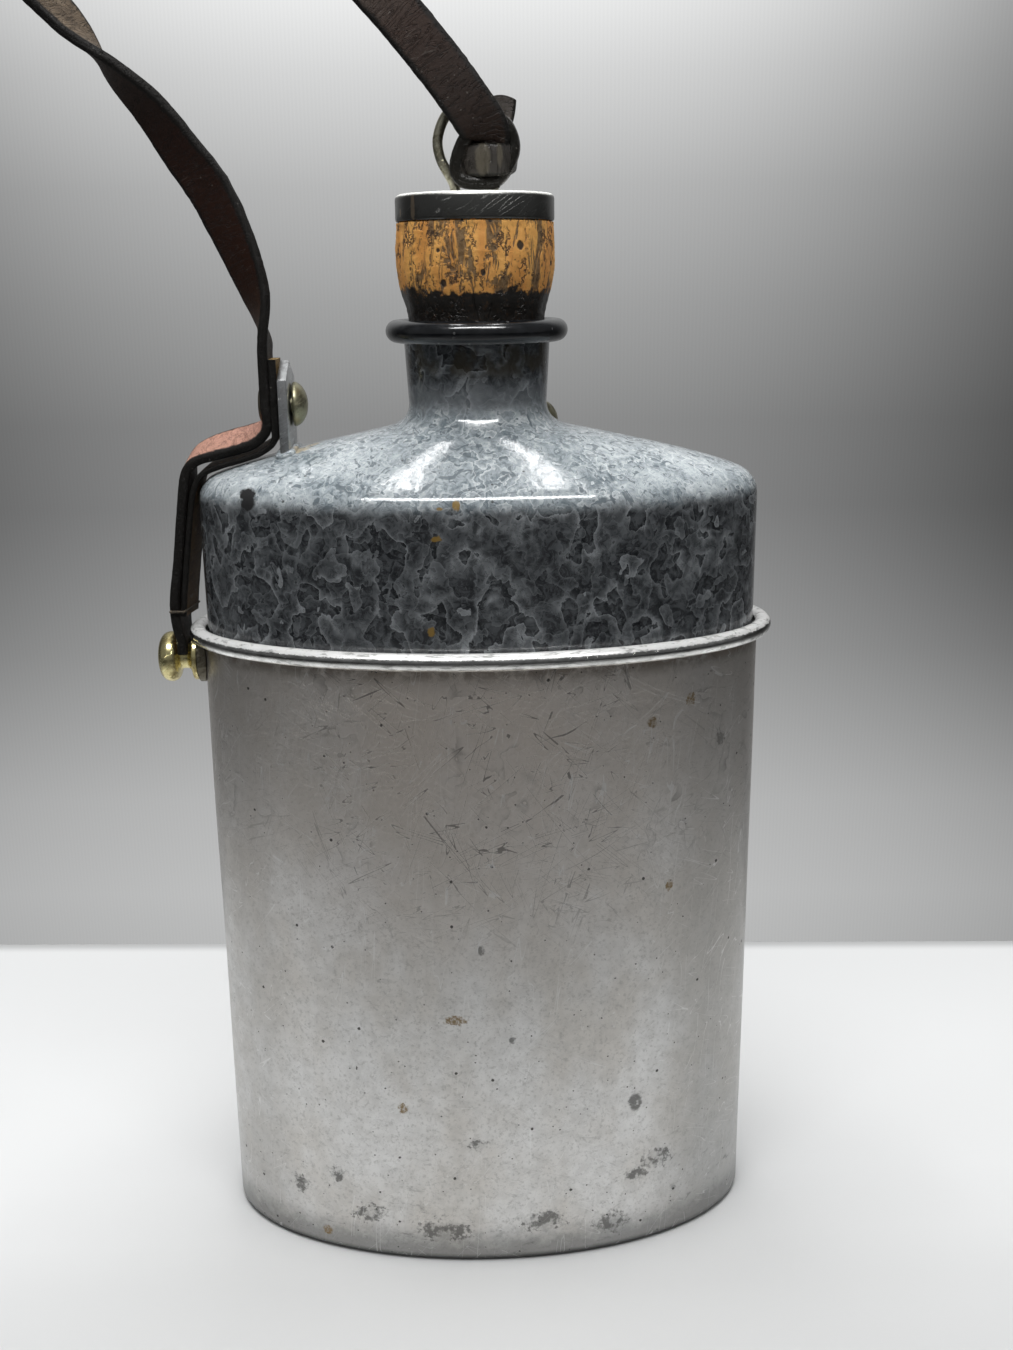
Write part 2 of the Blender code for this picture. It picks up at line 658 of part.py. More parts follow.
def build_strap(rivet_bore):
    """Upper loop of the strap, its fixing at the lug and its run over the shoulder."""
    hanging = smooth_route([
        near(EYE_FOOT, 1.9, -5.4, 16.1, -90),
        near(EYE_FOOT, -8.1, -4.6, 27.7, -90),
        near(EYE_FOOT, -18.5, -3.2, 39.6, -90),
        near(EYE_FOOT, -31, -2, 52.4, -86),
        near(EYE_FOOT, -45, -1, 66.4, -80),
        near(EYE_FOOT, -62, 0, 78.9, -70),
        near(EYE_FOOT, -80, 0, 83.4, -60),
        near(EYE_FOOT, -96, 0, 77.4, -54),
        near(EYE_FOOT, -104, 0, 63.9, -50),
        near(EYE_FOOT, -100.5, 0, 49.9, -50),
        near(STRAP_AT_RIVET, -39.55, 0, 81.3, -42),
        near(STRAP_AT_RIVET, -29.85, 0, 71.4, 8),
        near(STRAP_AT_RIVET, -21.85, 0, 63.3, 48),
        near(STRAP_AT_RIVET, -16.05, 0, 55.1, 68),
        near(STRAP_AT_RIVET, -9.05, 0, 44.6, 78),
        near(STRAP_AT_RIVET, -1.95, 0, 26.6, 48),
        near(STRAP_AT_RIVET, 0, 0, 15.5, 4),
    ])
    fixed = smooth_route([
        near(STRAP_AT_RIVET, 0, 0, 10.6, 0),
        near(STRAP_AT_RIVET, 0, 0, 0, 0),
        near(STRAP_AT_RIVET, 0, 0, -3.2, 0),
        near(STRAP_AT_RIVET, -0.95, 0, -6.5, 0),
        near(STRAP_AT_RIVET, -3.95, 0, -8.7, 0),
        near(SHOULDER_EDGE, 8.7, 0, 11.9, 0),
        near(SHOULDER_EDGE, 2.6, 0, 10.5, 0),
    ])
    strap = ribbon(
        "carry_strap", hanging + fixed, STRAP_WIDTH, STRAP_THICKNESS, LEATHER)
    cut(strap, rivet_bore)

    under = smooth_route([
        near(LINING_AT_RIVET, 0, 0, 12.6, 0),
        near(LINING_AT_RIVET, 0, 0, 0, 0),
        near(LINING_AT_RIVET, 0, 0, -5.2, 0),
        near(LINING_AT_RIVET, -0.95, 0, -8.1, 0),
        near(LINING_AT_RIVET, -3.95, 0, -10.2, 0),
        near(SHOULDER_EDGE, 10.8, 0, 10.3, 0),
        near(SHOULDER_EDGE, 6.6, 0, 9.1, 0),
        near(SHOULDER_EDGE, 3.0, 0, 7.7, 0),
    ])
    lining = ribbon("strap_lining", under, LINING_WIDTH, LINING_THICKNESS, LINING)
    cut(lining, rivet_bore)


def hang_on_pivot(thing):
    """Move a tail piece's origin to the bend that it swings about."""
    thing.data.transform(Matrix.Translation(-TAIL_PIVOT))
    thing.location = TAIL_PIVOT


def build_tail():
    """The strap's lower end over the side of the bottle, hooked on the cup's stud."""
    outer = smooth_route([
        near(SHOULDER_EDGE, 2.25, 0, 10.4, 0),
        near(SHOULDER_EDGE, 0.2, 0, 9.7, 0),
        near(SHOULDER_EDGE, -1.6, 0, 8.2, 0),
        near(SHOULDER_EDGE, -2.7, 0, 5.2, 0),
        near(SHOULDER_EDGE, -4.0, 0, -4.4, 0),
        near(TAIL_AT_STUD, 0.55, 0, 23.5, 0),
        near(TAIL_AT_STUD, -1.05, 0, 14.5, 0),
        near(TAIL_AT_STUD, -0.55, 0, 8.5, 0),
        near(TAIL_AT_STUD, -0.1, 0, 5.0, 0),
        near(TAIL_AT_STUD, -0.05, 0, 1.6, 0),
    ])
    strap = ribbon("tail_strap", outer, STRAP_WIDTH, STRAP_THICKNESS, LEATHER)
    saddle = rod_cutter(
        "neck_saddle", STUD_NECK + GAP,
        (-STUD_HEAD_OUTER, 0.0, STUD_HEIGHT), (-STUD_FLANGE_FACE, 0.0, STUD_HEIGHT))
    cut(strap, saddle)

    inner = smooth_route([
        near(SHOULDER_EDGE, 2.7, 0, 7.55, 0),
        near(SHOULDER_EDGE, 0.7, 0, 6.1, 0),
        near(SHOULDER_EDGE, -0.7, 0, 3.6, 0),
        near(SHOULDER_EDGE, -1.15, 0, -0.4, 0),
        near(WALL_AT_STUD, -0.2, 0, 27.0, 0),
        near(WALL_AT_STUD, -0.9, 0, 15.0, 0),
        near(WALL_AT_STUD, -1.0, 0, 10.5, 0),
    ])
    lining = ribbon("tail_lining", inner, LINING_WIDTH, LINING_THICKNESS, LINING)
    stitch = build_stitch()
    for piece in (strap, lining, stitch):
        hang_on_pivot(piece)


def build_stitch():
    """A loose loop of thread round both layers of the tail."""
    clear = GAP + THREAD_RADIUS
    reach = STRAP_WIDTH / 2 + clear
    right = WALL_AT_STUD.x - 0.0010 + LINING_THICKNESS / 2 + clear
    left = TAIL_X - 0.0011 - STRAP_THICKNESS / 2 - clear
    corner = 2 * THREAD_RADIUS
    height = STUD_HEIGHT + 0.0120
    loop = [
        (right, reach - corner, height),
        (right - corner, reach, height),
        (left + corner, reach, height),
        (left, reach - corner, height),
        (left, corner - reach, height),
        (left + corner, -reach, height),
        (right - corner, -reach, height),
        (right, corner - reach, height),
    ]
    return wire("tail_stitch", loop, THREAD_RADIUS, THREAD, cyclic=True)


def build_lug(shoulder_form):
    """Plate with a pointed top, its foot following the shoulder, and its rivet."""
    outline = (
        (-LUG_HALF_WIDTH, LUG_ROOT),
        (LUG_HALF_WIDTH, LUG_ROOT),
        (LUG_HALF_WIDTH, LUG_SIDE_TOP),
        (0.0, LUG_PEAK),
        (-LUG_HALF_WIDTH, LUG_SIDE_TOP),
    )
    bm = bmesh.new()
    outer_face = LUG_FACE - LUG_THICKNESS
    face = bm.faces.new([bm.verts.new((outer_face, y, z)) for y, z in outline])
    grown = bmesh.ops.extrude_face_region(bm, geom=[face])
    moved = [item for item in grown["geom"] if isinstance(item, bmesh.types.BMVert)]
    bmesh.ops.translate(bm, verts=moved, vec=(LUG_THICKNESS, 0.0, 0.0))
    lug = add_object("strap_lug", bm, LUG_METAL, smooth=False)
    chamfer = lug.modifiers.new("chamfer", "BEVEL")
    chamfer.width = LUG_CHAMFER
    chamfer.segments = 1
    cut(lug, shoulder_form)
    rivet_bore = rod_cutter(
        "rivet_bore", RIVET_SHANK + GAP,
        (LUG_FACE + 0.002, 0.0, RIVET_HEIGHT), (STRAP_X - 0.005, 0.0, RIVET_HEIGHT))
    cut(lug, rivet_bore)

    burr_right = STRAP_X - STRAP_THICKNESS / 2 - GAP
    burr_left = burr_right - BURR_THICKNESS
    head_seat = LUG_FACE + GAP
    head_top = head_seat + RIVET_HEAD_HEIGHT
    rivet = turned("lug_rivet", (
        (0.0, head_top),
        (RIVET_HEAD_RADIUS * 0.45, head_top - 0.0004),
        (RIVET_HEAD_RADIUS * 0.80, head_top - 0.0013),
        (RIVET_HEAD_RADIUS * 0.97, head_top - 0.0024),
        (RIVET_HEAD_RADIUS, head_seat + 0.0004),
        (RIVET_HEAD_RADIUS - 0.0004, head_seat),
        (RIVET_SHANK, head_seat),
        (RIVET_SHANK, burr_left - 0.0004),
        (0.0, burr_left - 0.0006),
    ), RIVET_BRASS)
    stand(rivet, (0.0, 0.0, RIVET_HEIGHT), "+X")
    burr = turned("rivet_burr", (
        (BURR_RADIUS, burr_right),
        (BURR_RADIUS, burr_left),
        (RIVET_SHANK + GAP, burr_left),
        (RIVET_SHANK + GAP, burr_right),
    ), RIVET_BRASS, closed=True)
    stand(burr, (0.0, 0.0, RIVET_HEIGHT), "+X")
    return rivet_bore


def build_rear_button(shoulder_form):
    """Low brass boss on the rear shoulder, to the right of the neck."""
    button = turned("rear_button", (
        (0.0, BUTTON_TOP),
        (BUTTON_RADIUS * 0.50, BUTTON_TOP - 0.0004),
        (BUTTON_RADIUS * 0.85, BUTTON_TOP - 0.0014),
        (BUTTON_RADIUS, BUTTON_TOP - 0.0030),
        (BUTTON_RADIUS, BUTTON_ROOT),
        (0.0, BUTTON_ROOT),
    ), RIVET_BRASS)
    stand(button, (BUTTON_X, BUTTON_Y, 0.0))
    cut(button, shoulder_form)


build_cup()
build_stud()
shoulder = build_bottle()
build_lip_ring()
build_stopper()
build_hitch()
bore = build_lug(shoulder)
build_strap(bore)
build_tail()
build_rear_button(shoulder)
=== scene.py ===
"""Looks of the enamelled field canteen in its drawn cup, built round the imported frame.

Lengths are in millimetres, except in calls to Blender, which takes metres; mm() turns a
point into metres. Colours are linear.
"""
import math

import bmesh
import bpy
from mathutils import Matrix, Vector, noise


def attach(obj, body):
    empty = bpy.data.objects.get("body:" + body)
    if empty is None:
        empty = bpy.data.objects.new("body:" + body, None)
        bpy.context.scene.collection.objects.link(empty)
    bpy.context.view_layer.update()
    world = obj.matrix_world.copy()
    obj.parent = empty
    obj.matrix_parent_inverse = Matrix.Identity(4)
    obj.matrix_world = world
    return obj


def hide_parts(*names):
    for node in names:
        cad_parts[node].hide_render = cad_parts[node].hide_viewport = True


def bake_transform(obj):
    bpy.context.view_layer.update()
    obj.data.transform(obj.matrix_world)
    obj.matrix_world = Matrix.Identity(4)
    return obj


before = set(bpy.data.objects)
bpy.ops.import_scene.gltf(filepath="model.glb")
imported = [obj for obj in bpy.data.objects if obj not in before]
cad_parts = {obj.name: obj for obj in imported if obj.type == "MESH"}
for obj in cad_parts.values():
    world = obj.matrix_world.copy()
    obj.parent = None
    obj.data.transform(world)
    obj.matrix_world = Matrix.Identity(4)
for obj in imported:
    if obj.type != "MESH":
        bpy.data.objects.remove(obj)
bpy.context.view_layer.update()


def mm(x, y, z):
    return Vector((x, y, z)) / 1000


# ---------------------------------------------------------------- shader helpers

class Wire:
    """A node's output that is reckoned with like a number; | gives the higher of two."""

    def __init__(self, socket):
        self.socket = socket
        self.tree = socket.id_data

    def math(self, operation, *others):
        inputs = dict(enumerate((self, *others)))
        return out(put(self.tree, "ShaderNodeMath", inputs, operation=operation))

    def vector(self, operation, *others, **named):
        inputs = {**dict(enumerate((self, *others))), **named}
        item = put(self.tree, "ShaderNodeVectorMath", inputs, operation=operation)
        return out(item, "Value" if operation == "LENGTH" else 0)

    def __add__(self, other):
        return self.math("ADD", other)

    def __sub__(self, other):
        return self.math("SUBTRACT", other)

    def __rsub__(self, other):
        return out(put(self.tree, "ShaderNodeMath", {0: other, 1: self}, operation="SUBTRACT"))

    def __mul__(self, other):
        return self.math("MULTIPLY", other)

    def __truediv__(self, other):
        return self.math("DIVIDE", other)

    def __pow__(self, other):
        return self.math("POWER", other)

    def __abs__(self):
        return self.math("ABSOLUTE")

    def __or__(self, other):
        return self.math("MAXIMUM", other)

    def __lt__(self, other):
        return self.math("LESS_THAN", other)

    def __gt__(self, other):
        return self.math("GREATER_THAN", other)

    def fade(self, low, high, start=0.0, end=1.0):
        """A smooth step from start to end as the value goes from low to high."""
        return out(put(self.tree, "ShaderNodeMapRange", {
            "Value": self, "From Min": low, "From Max": high, "To Min": start, "To Max": end,
        }, interpolation_type="SMOOTHSTEP"))


def out(item, name=0):
    return Wire(item.outputs[name])


def feed(socket, value):
    """Link a wire to a socket, or set the socket's own value."""
    if isinstance(value, Wire):
        value.tree.links.new(value.socket, socket)
    elif socket.type == "RGBA":
        socket.default_value = (*value, 1.0)
    else:
        socket.default_value = value


def put(tree, kind, inputs=None, **settings):
    """Add a node; inputs hold numbers, colours or wires from other nodes."""
    item = tree.nodes.new(kind)
    for key, value in settings.items():
        setattr(item, key, value)
    for key, value in (inputs or {}).items():
        feed(item.inputs[key], value)
    return item


def blended(share, first, second, kind="MIX"):
    """Two colours mixed by a share; one at least of the three is a wire."""
    tree = next(value.tree for value in (share, first, second) if isinstance(value, Wire))
    item = put(tree, "ShaderNodeMix", data_type="RGBA", blend_type=kind)
    for index, value in ((0, share), (6, first), (7, second)):
        feed(item.inputs[index], value)
    return out(item, 2)


def layered(colour, *layers):
    """Tones laid over a colour one after another, each by its share."""
    for share, tone in layers:
        colour = blended(share, colour, tone)
    return colour


def tinted(colour, tone):
    return blended(1.0, colour, tone, "MULTIPLY")


def scaled(tone, by):
    return tuple(min(1.0, by * part) for part in tone)


def cloud(place, scale, detail=3.0, roughness=0.5, distortion=0.0, output="Fac"):
    return out(put(place.tree, "ShaderNodeTexNoise", {
        "Vector": place, "Scale": scale, "Detail": detail, "Roughness": roughness,
        "Distortion": distortion}), output)


def stretch(place, x, y, z):
    return place.vector("MULTIPLY", (x, y, z))


def split(place):
    return [Wire(socket) for socket in put(place.tree, "ShaderNodeSeparateXYZ", {0: place}).outputs]


def ramped(value, stops):
    """The colour at a value from 0 to 1, between stops of position and tone."""
    ramp = put(value.tree, "ShaderNodeValToRGB", {"Fac": value})
    elements = ramp.color_ramp.elements
    while len(elements) < len(stops):
        elements.new(0.5)
    for element, (position, tone) in zip(elements, stops):
        element.position = position
        element.color = (*tone, 1.0)
    return out(ramp, "Color")


def new_group(name, inputs, *outputs):
    """A shader node group's inputs and end; an input without a value is a vector."""
    tree = bpy.data.node_groups.new(name, "ShaderNodeTree")
    for label, value in inputs.items():
        kind = "NodeSocketVector" if value is None else "NodeSocketFloat"
        socket = tree.interface.new_socket(label, in_out="INPUT", socket_type=kind)
        if value is not None:
            socket.default_value = value
    for label in outputs:
        tree.interface.new_socket(label, in_out="OUTPUT", socket_type="NodeSocketFloat")
    start, end = tree.nodes.new("NodeGroupInput"), tree.nodes.new("NodeGroupOutput")
    return tree, {label: out(start, label) for label in inputs}, end.inputs


def use(group, **inputs):
    """A node group's outputs by name, used where its Place is."""
    tree = inputs["Place"].tree
    item = tree.nodes.new("ShaderNodeGroup")
    item.node_tree = group
    for label, value in inputs.items():
        feed(item.inputs[label], value)
    return {socket.name: Wire(socket) for socket in item.outputs}


def new_finish(name, **settings):
    """A material and its Object coordinates in millimetres; settings are fixed values of
    its main shader."""
    material = bpy.data.materials.new(name)
    material.use_nodes = True
    tree = material.node_tree
    for label, value in settings.items():
        tree.nodes["Principled BSDF"].inputs[label.replace("_", " ")].default_value = value
    return material, out(put(tree, "ShaderNodeTexCoord"), "Object").vector("SCALE", Scale=1000.0)


def finish_with(material, colour, roughness, metallic=0.0, height=None, depth=0.0001, strength=0.6):
    """Feed a material's main shader; height is in units of depth metres."""
    shader = material.node_tree.nodes["Principled BSDF"]
    feed(shader.inputs["Base Color"], colour)
    feed(shader.inputs["Roughness"], roughness)
    feed(shader.inputs["Metallic"], metallic)
    if height is not None:
        bump = put(height.tree, "ShaderNodeBump", {
            "Height": height, "Distance": depth, "Strength": strength})
        feed(shader.inputs["Normal"], out(bump))
    return material


# ---------------------------------------------------------------- shared effects

def make_speck_group():
    """Small scattered specks of a set size and share, from cells."""
    tree, start, end = new_group("specks", {"Place": None, "Scale": 1.0, "Size": 0.2, "Share": 0.2},
                                 "Mask")
    ragged = cloud(start["Place"], 3.0, 2.0, output="Color")
    nudged = ragged.vector("MULTIPLY_ADD", (0.3, 0.3, 0.3), start["Place"])
    cells = put(tree, "ShaderNodeTexVoronoi", {"Vector": nudged, "Scale": start["Scale"]})
    near = out(cells, "Distance") < start["Size"]
    kept = split(out(cells, "Color"))[0] < start["Share"]
    feed(end["Mask"], near * kept)
    return tree


def make_scratch_group():
    """Fine straight scratches in one rough direction, broken along their length."""
    tree, start, end = new_group("scratches", {
        "Place": None, "Turn": 0.0, "Fineness": 0.3, "Length": 0.03, "Width": 0.012, "Share": 0.3},
        "Mask")
    place = start["Place"]
    turned_place = out(put(tree, "ShaderNodeVectorRotate", {
        "Vector": place, "Axis": (0.0, 1.0, 0.0), "Angle": start["Turn"]}))
    x, y, z = split(turned_place)
    lane = out(put(tree, "ShaderNodeCombineXYZ", {
        0: x * start["Length"], 1: y * 0.05, 2: z * start["Fineness"]}))
    thin = abs(cloud(lane, 1.0, 1.0) - 0.5) < start["Width"]
    shown = cloud(place.vector("ADD", lane), 0.12, 2.0) > 0.75 - start["Share"]
    feed(end["Mask"], thin * shown)
    return tree


def pushed(place, amount, scale, detail):
    """A place moved to and fro by up to half an amount."""
    swirl = cloud(place, scale, detail, output="Color").vector("ADD", (-0.5, -0.5, -0.5))
    return place.vector("ADD", swirl.vector("SCALE", Scale=amount))


def make_vein_group():
    """Curled enamel marks: thin crisp rims and a broad fill that fades away on one side."""
    tree, start, end = new_group("enamel veins", {
        "Place": None, "Scale": 0.1, "Curl": 5.0, "Fray": 0.8, "Bands": 8.0}, "Rim", "Fill")
    place = start["Place"]
    bent = pushed(pushed(place, start["Curl"], 0.13, 1.5), start["Fray"], 0.55, 2.5)
    step = (cloud(bent, start["Scale"], 2.0) * start["Bands"]).math("FRACT")
    edge = step.fade(0.0, 0.03)
    left = 1.0 - step
    strength = cloud(place, 0.11, 2.0).fade(0.36, 0.60, 0.15, 1.0)
    feed(end["Rim"], left ** 7.0 * edge * strength)
    feed(end["Fill"], left ** 2.2 * edge)
    return tree


def make_spot_group():
    """One ragged spot at a named place; a flat one is wider than it is high."""
    tree, start, end = new_group("spot", {
        "Place": None, "Centre": None, "Radius": 1.0, "Ragged": 0.3, "Flat": 1.0}, "Mask")
    x, y, z = split(start["Place"].vector("SUBTRACT", start["Centre"]))
    gap = out(put(tree, "ShaderNodeCombineXYZ", {0: x, 1: y, 2: z * start["Flat"]})).vector("LENGTH")
    push = (cloud(start["Place"], 0.9, 3.0, 0.6) - 0.5) * start["Ragged"]
    feed(end["Mask"], (gap / start["Radius"] + push).fade(0.75, 1.15, 1.0, 0.0))
    return tree


SPECKS = make_speck_group()
SCRATCHES = make_scratch_group()
VEINS = make_vein_group()
SPOT = make_spot_group()


def specks(place, scale, size, share):
    return use(SPECKS, Place=place, Scale=scale, Size=size, Share=share)["Mask"]


def scratches(place, turn, fineness, length, width, share):
    return use(SCRATCHES, Place=place, Turn=turn, Fineness=fineness, Length=length, Width=width,
               Share=share)["Mask"]


def veins(place, scale, curl, fray, bands):
    """The rims and the fills of curled marks."""
    marks = use(VEINS, Place=place, Scale=scale, Curl=curl, Fray=fray, Bands=bands)
    return marks["Rim"], marks["Fill"]


def joined(masks):
    """The highest of several masks."""
    total, *others = masks
    for mask in others:
        total = total | mask
    return total


def spots(place, marks):
    """The joined masks of several spots: centre, radius, raggedness and flatness."""
    return joined([
        use(SPOT, Place=place, Centre=centre, Radius=radius, Ragged=ragged, Flat=flat)["Mask"]
        for centre, radius, ragged, flat in marks])


# ---------------------------------------------------------------- finishes

LUG_STAINS = [((-40.5, -4.5, 194.5), 3.4, 1.4, 1.0), ((-38.0, -1.0, 196.0), 2.2, 1.2, 1.0),
              ((-50.5, -5.5, 191.0), 2.4, 1.4, 1.0)]
RUST_SPOTS = [((-5.2, -32.6, 187.4), 0.9, 1.2, 0.7), ((-9.6, -33.2, 180.4), 1.1, 1.8, 1.5),
              ((-11.2, -33.2, 160.0), 1.1, 1.4, 1.0), ((-8.6, -33.0, 186.8), 0.8, 1.8, 2.2)]
CHIPS = [((-51.4, -19.6, 188.6), 2.5, 1.0, 1.7), ((-51.2, -20.6, 187.0), 2.1, 0.7, 1.0)]


def make_enamel():
    """Slate marks on the wall and the neck, a pale lacy shoulder between them."""
    material, place = new_finish("mottled_grey_enamel")
    x, _, z = split(place)
    grain = cloud(place, 1.3, 4.0, 0.75)
    crinkle = cloud(place, 0.42, 5.0, 0.68, 1.4)
    shifted = place.vector("ADD", (31.0, 17.0, 53.0))
    large_rim, large_fill = veins(stretch(place, 1.0, 1.0, 0.8), 0.12, 6.5, 2.0, 4.5)
    small_rim, small_fill = veins(shifted, 0.22, 4.5, 1.4, 4.0)
    wall = layered(
        blended(crinkle.fade(0.40, 0.62), (0.012, 0.013, 0.015), (0.062, 0.066, 0.071)),
        (grain.fade(0.52, 0.72, 0.0, 0.45), (0.120, 0.127, 0.135)),
        (small_fill * 0.50, (0.125, 0.134, 0.142)),
        (large_fill * 0.66, (0.150, 0.160, 0.168)),
        (small_rim * 0.55, (0.23, 0.245, 0.255)),
        (large_rim * 0.85, (0.36, 0.38, 0.395)),
        (abs(crinkle - 0.47).fade(0.0, 0.016, 0.75, 0.0), (0.014, 0.015, 0.017)))

    lace_rim, lace_fill = veins(shifted, 0.24, 3.0, 1.8, 5.0)
    strokes = cloud(place, 0.26, 3.0, 0.6, 1.6)
    beside_front = abs(x).fade(12.0, 34.0, 0.25, 1.0)
    pale = layered(
        blended(crinkle.fade(0.38, 0.62), (0.13, 0.16, 0.18), (0.31, 0.35, 0.37)),
        (lace_fill * 0.75, (0.39, 0.43, 0.445)),
        (cloud(place, 0.07, 3.0, 0.6).fade(0.40, 0.60, 0.0, 0.45) * beside_front, (0.58, 0.62, 0.635)),
        (strokes.fade(0.56, 0.61, 0.0, 0.80), (0.10, 0.122, 0.138)),
        (abs(strokes - 0.46).fade(0.0, 0.014, 0.65, 0.0), (0.10, 0.12, 0.135)),
        (lace_rim * 0.65, (0.76, 0.79, 0.80)))

    level = z + (cloud(place, 0.25) - 0.5) * 3.5
    on_shoulder = level.fade(184.6, 188.0) * level.fade(204.0, 208.0, 1.0, 0.0)
    low_neck = level.fade(203.0, 206.5) * level.fade(208.0, 213.0, 1.0, 0.0)
    high_neck = cloud(place, 0.17, 3.0, 0.6).fade(0.44, 0.60) * z.fade(211.5, 215.0, 0.0, 0.8)
    pits = specks(place, 0.42, 0.13, 0.14)
    chips = spots(place, CHIPS)
    colour = layered(
        blended(on_shoulder, wall, pale),
        (low_neck * 0.30, (0.40, 0.43, 0.455)),
        (high_neck, (0.045, 0.038, 0.026)),
        (spots(place, LUG_STAINS) * 0.6, (0.45, 0.33, 0.14)),
        (spots(place, RUST_SPOTS) * 0.85, (0.26, 0.16, 0.035)),
        (pits * 0.85, (0.008, 0.008, 0.009)),
        (chips, (0.004, 0.004, 0.005)))
    bare = chips | pits
    roughness = (grain * 0.10 + 0.10) | (bare * 0.65)
    height = cloud(place, 0.35, 3.0, 0.55) * 0.9 + large_rim * 0.12 - bare * 0.9
    return finish_with(material, colour, roughness, height=height, depth=0.00014)


CUP_MARKS = [((35.3, -29.1, 40.4), 1.9, 0.7, 0.8), ((40.8, -27.0, 23.0), 4.2, 2.6, 1.6),
             ((36.0, -29.0, 20.0), 3.0, 2.6, 1.8), ((-2.8, -34.2, 33.0), 2.2, 2.6, 1.6),
             ((-24.0, -32.5, 76.0), 1.8, 1.8, 2.4), ((5.5, -34.3, 61.0), 0.9, 0.5, 1.0),
             ((-1.5, -34.3, 84.5), 0.8, 0.8, 0.6), ((-44.0, -26.0, 128.0), 0.7, 0.5, 1.0),
             ((12.0, -34.0, 11.0), 6.0, 2.6, 2.2), ((-12.0, -34.0, 9.0), 6.5, 2.6, 2.4),
             ((-30.0, -31.0, 12.0), 4.0, 2.6, 1.6), ((-38.0, -28.5, 22.0), 2.0, 1.8, 1.0),
             ((-47.7, -24.0, 17.0), 2.4, 2.2, 1.0), ((30.0, -30.8, 8.0), 4.6, 2.4, 1.8),
             ((55.0, -19.0, 131.0), 1.6, 1.6, 0.6)]
CUP_STAINS = [((-7.9, -34.2, 66.6), 2.6, 2.0, 2.2), ((-21.0, -33.0, 42.5), 1.3, 2.0, 0.8),
              ((-41.0, -27.0, 5.0), 1.3, 1.0, 1.0), ((38.0, -28.5, 137.0), 1.4, 1.8, 1.0),
              ((47.0, -24.0, 141.0), 1.3, 1.8, 0.8), ((43.0, -26.5, 96.0), 1.2, 1.8, 0.8)]
# Turn, share and width of scratches.
DARK_SCRATCHES = ((0.45, 0.30, 0.003375), (-0.75, 0.28, 0.003), (1.25, 0.25, 0.003),
                  (0.08, 0.24, 0.002625), (-0.30, 0.24, 0.002625), (1.9, 0.22, 0.002625))
BRIGHT_SCRATCHES = ((1.48, 0.26, 0.003), (0.9, 0.24, 0.002625), (-0.5, 0.22, 0.002625))
LONG_SCRATCH_TURNS = (0.70, -0.95, 1.30, 0.25)


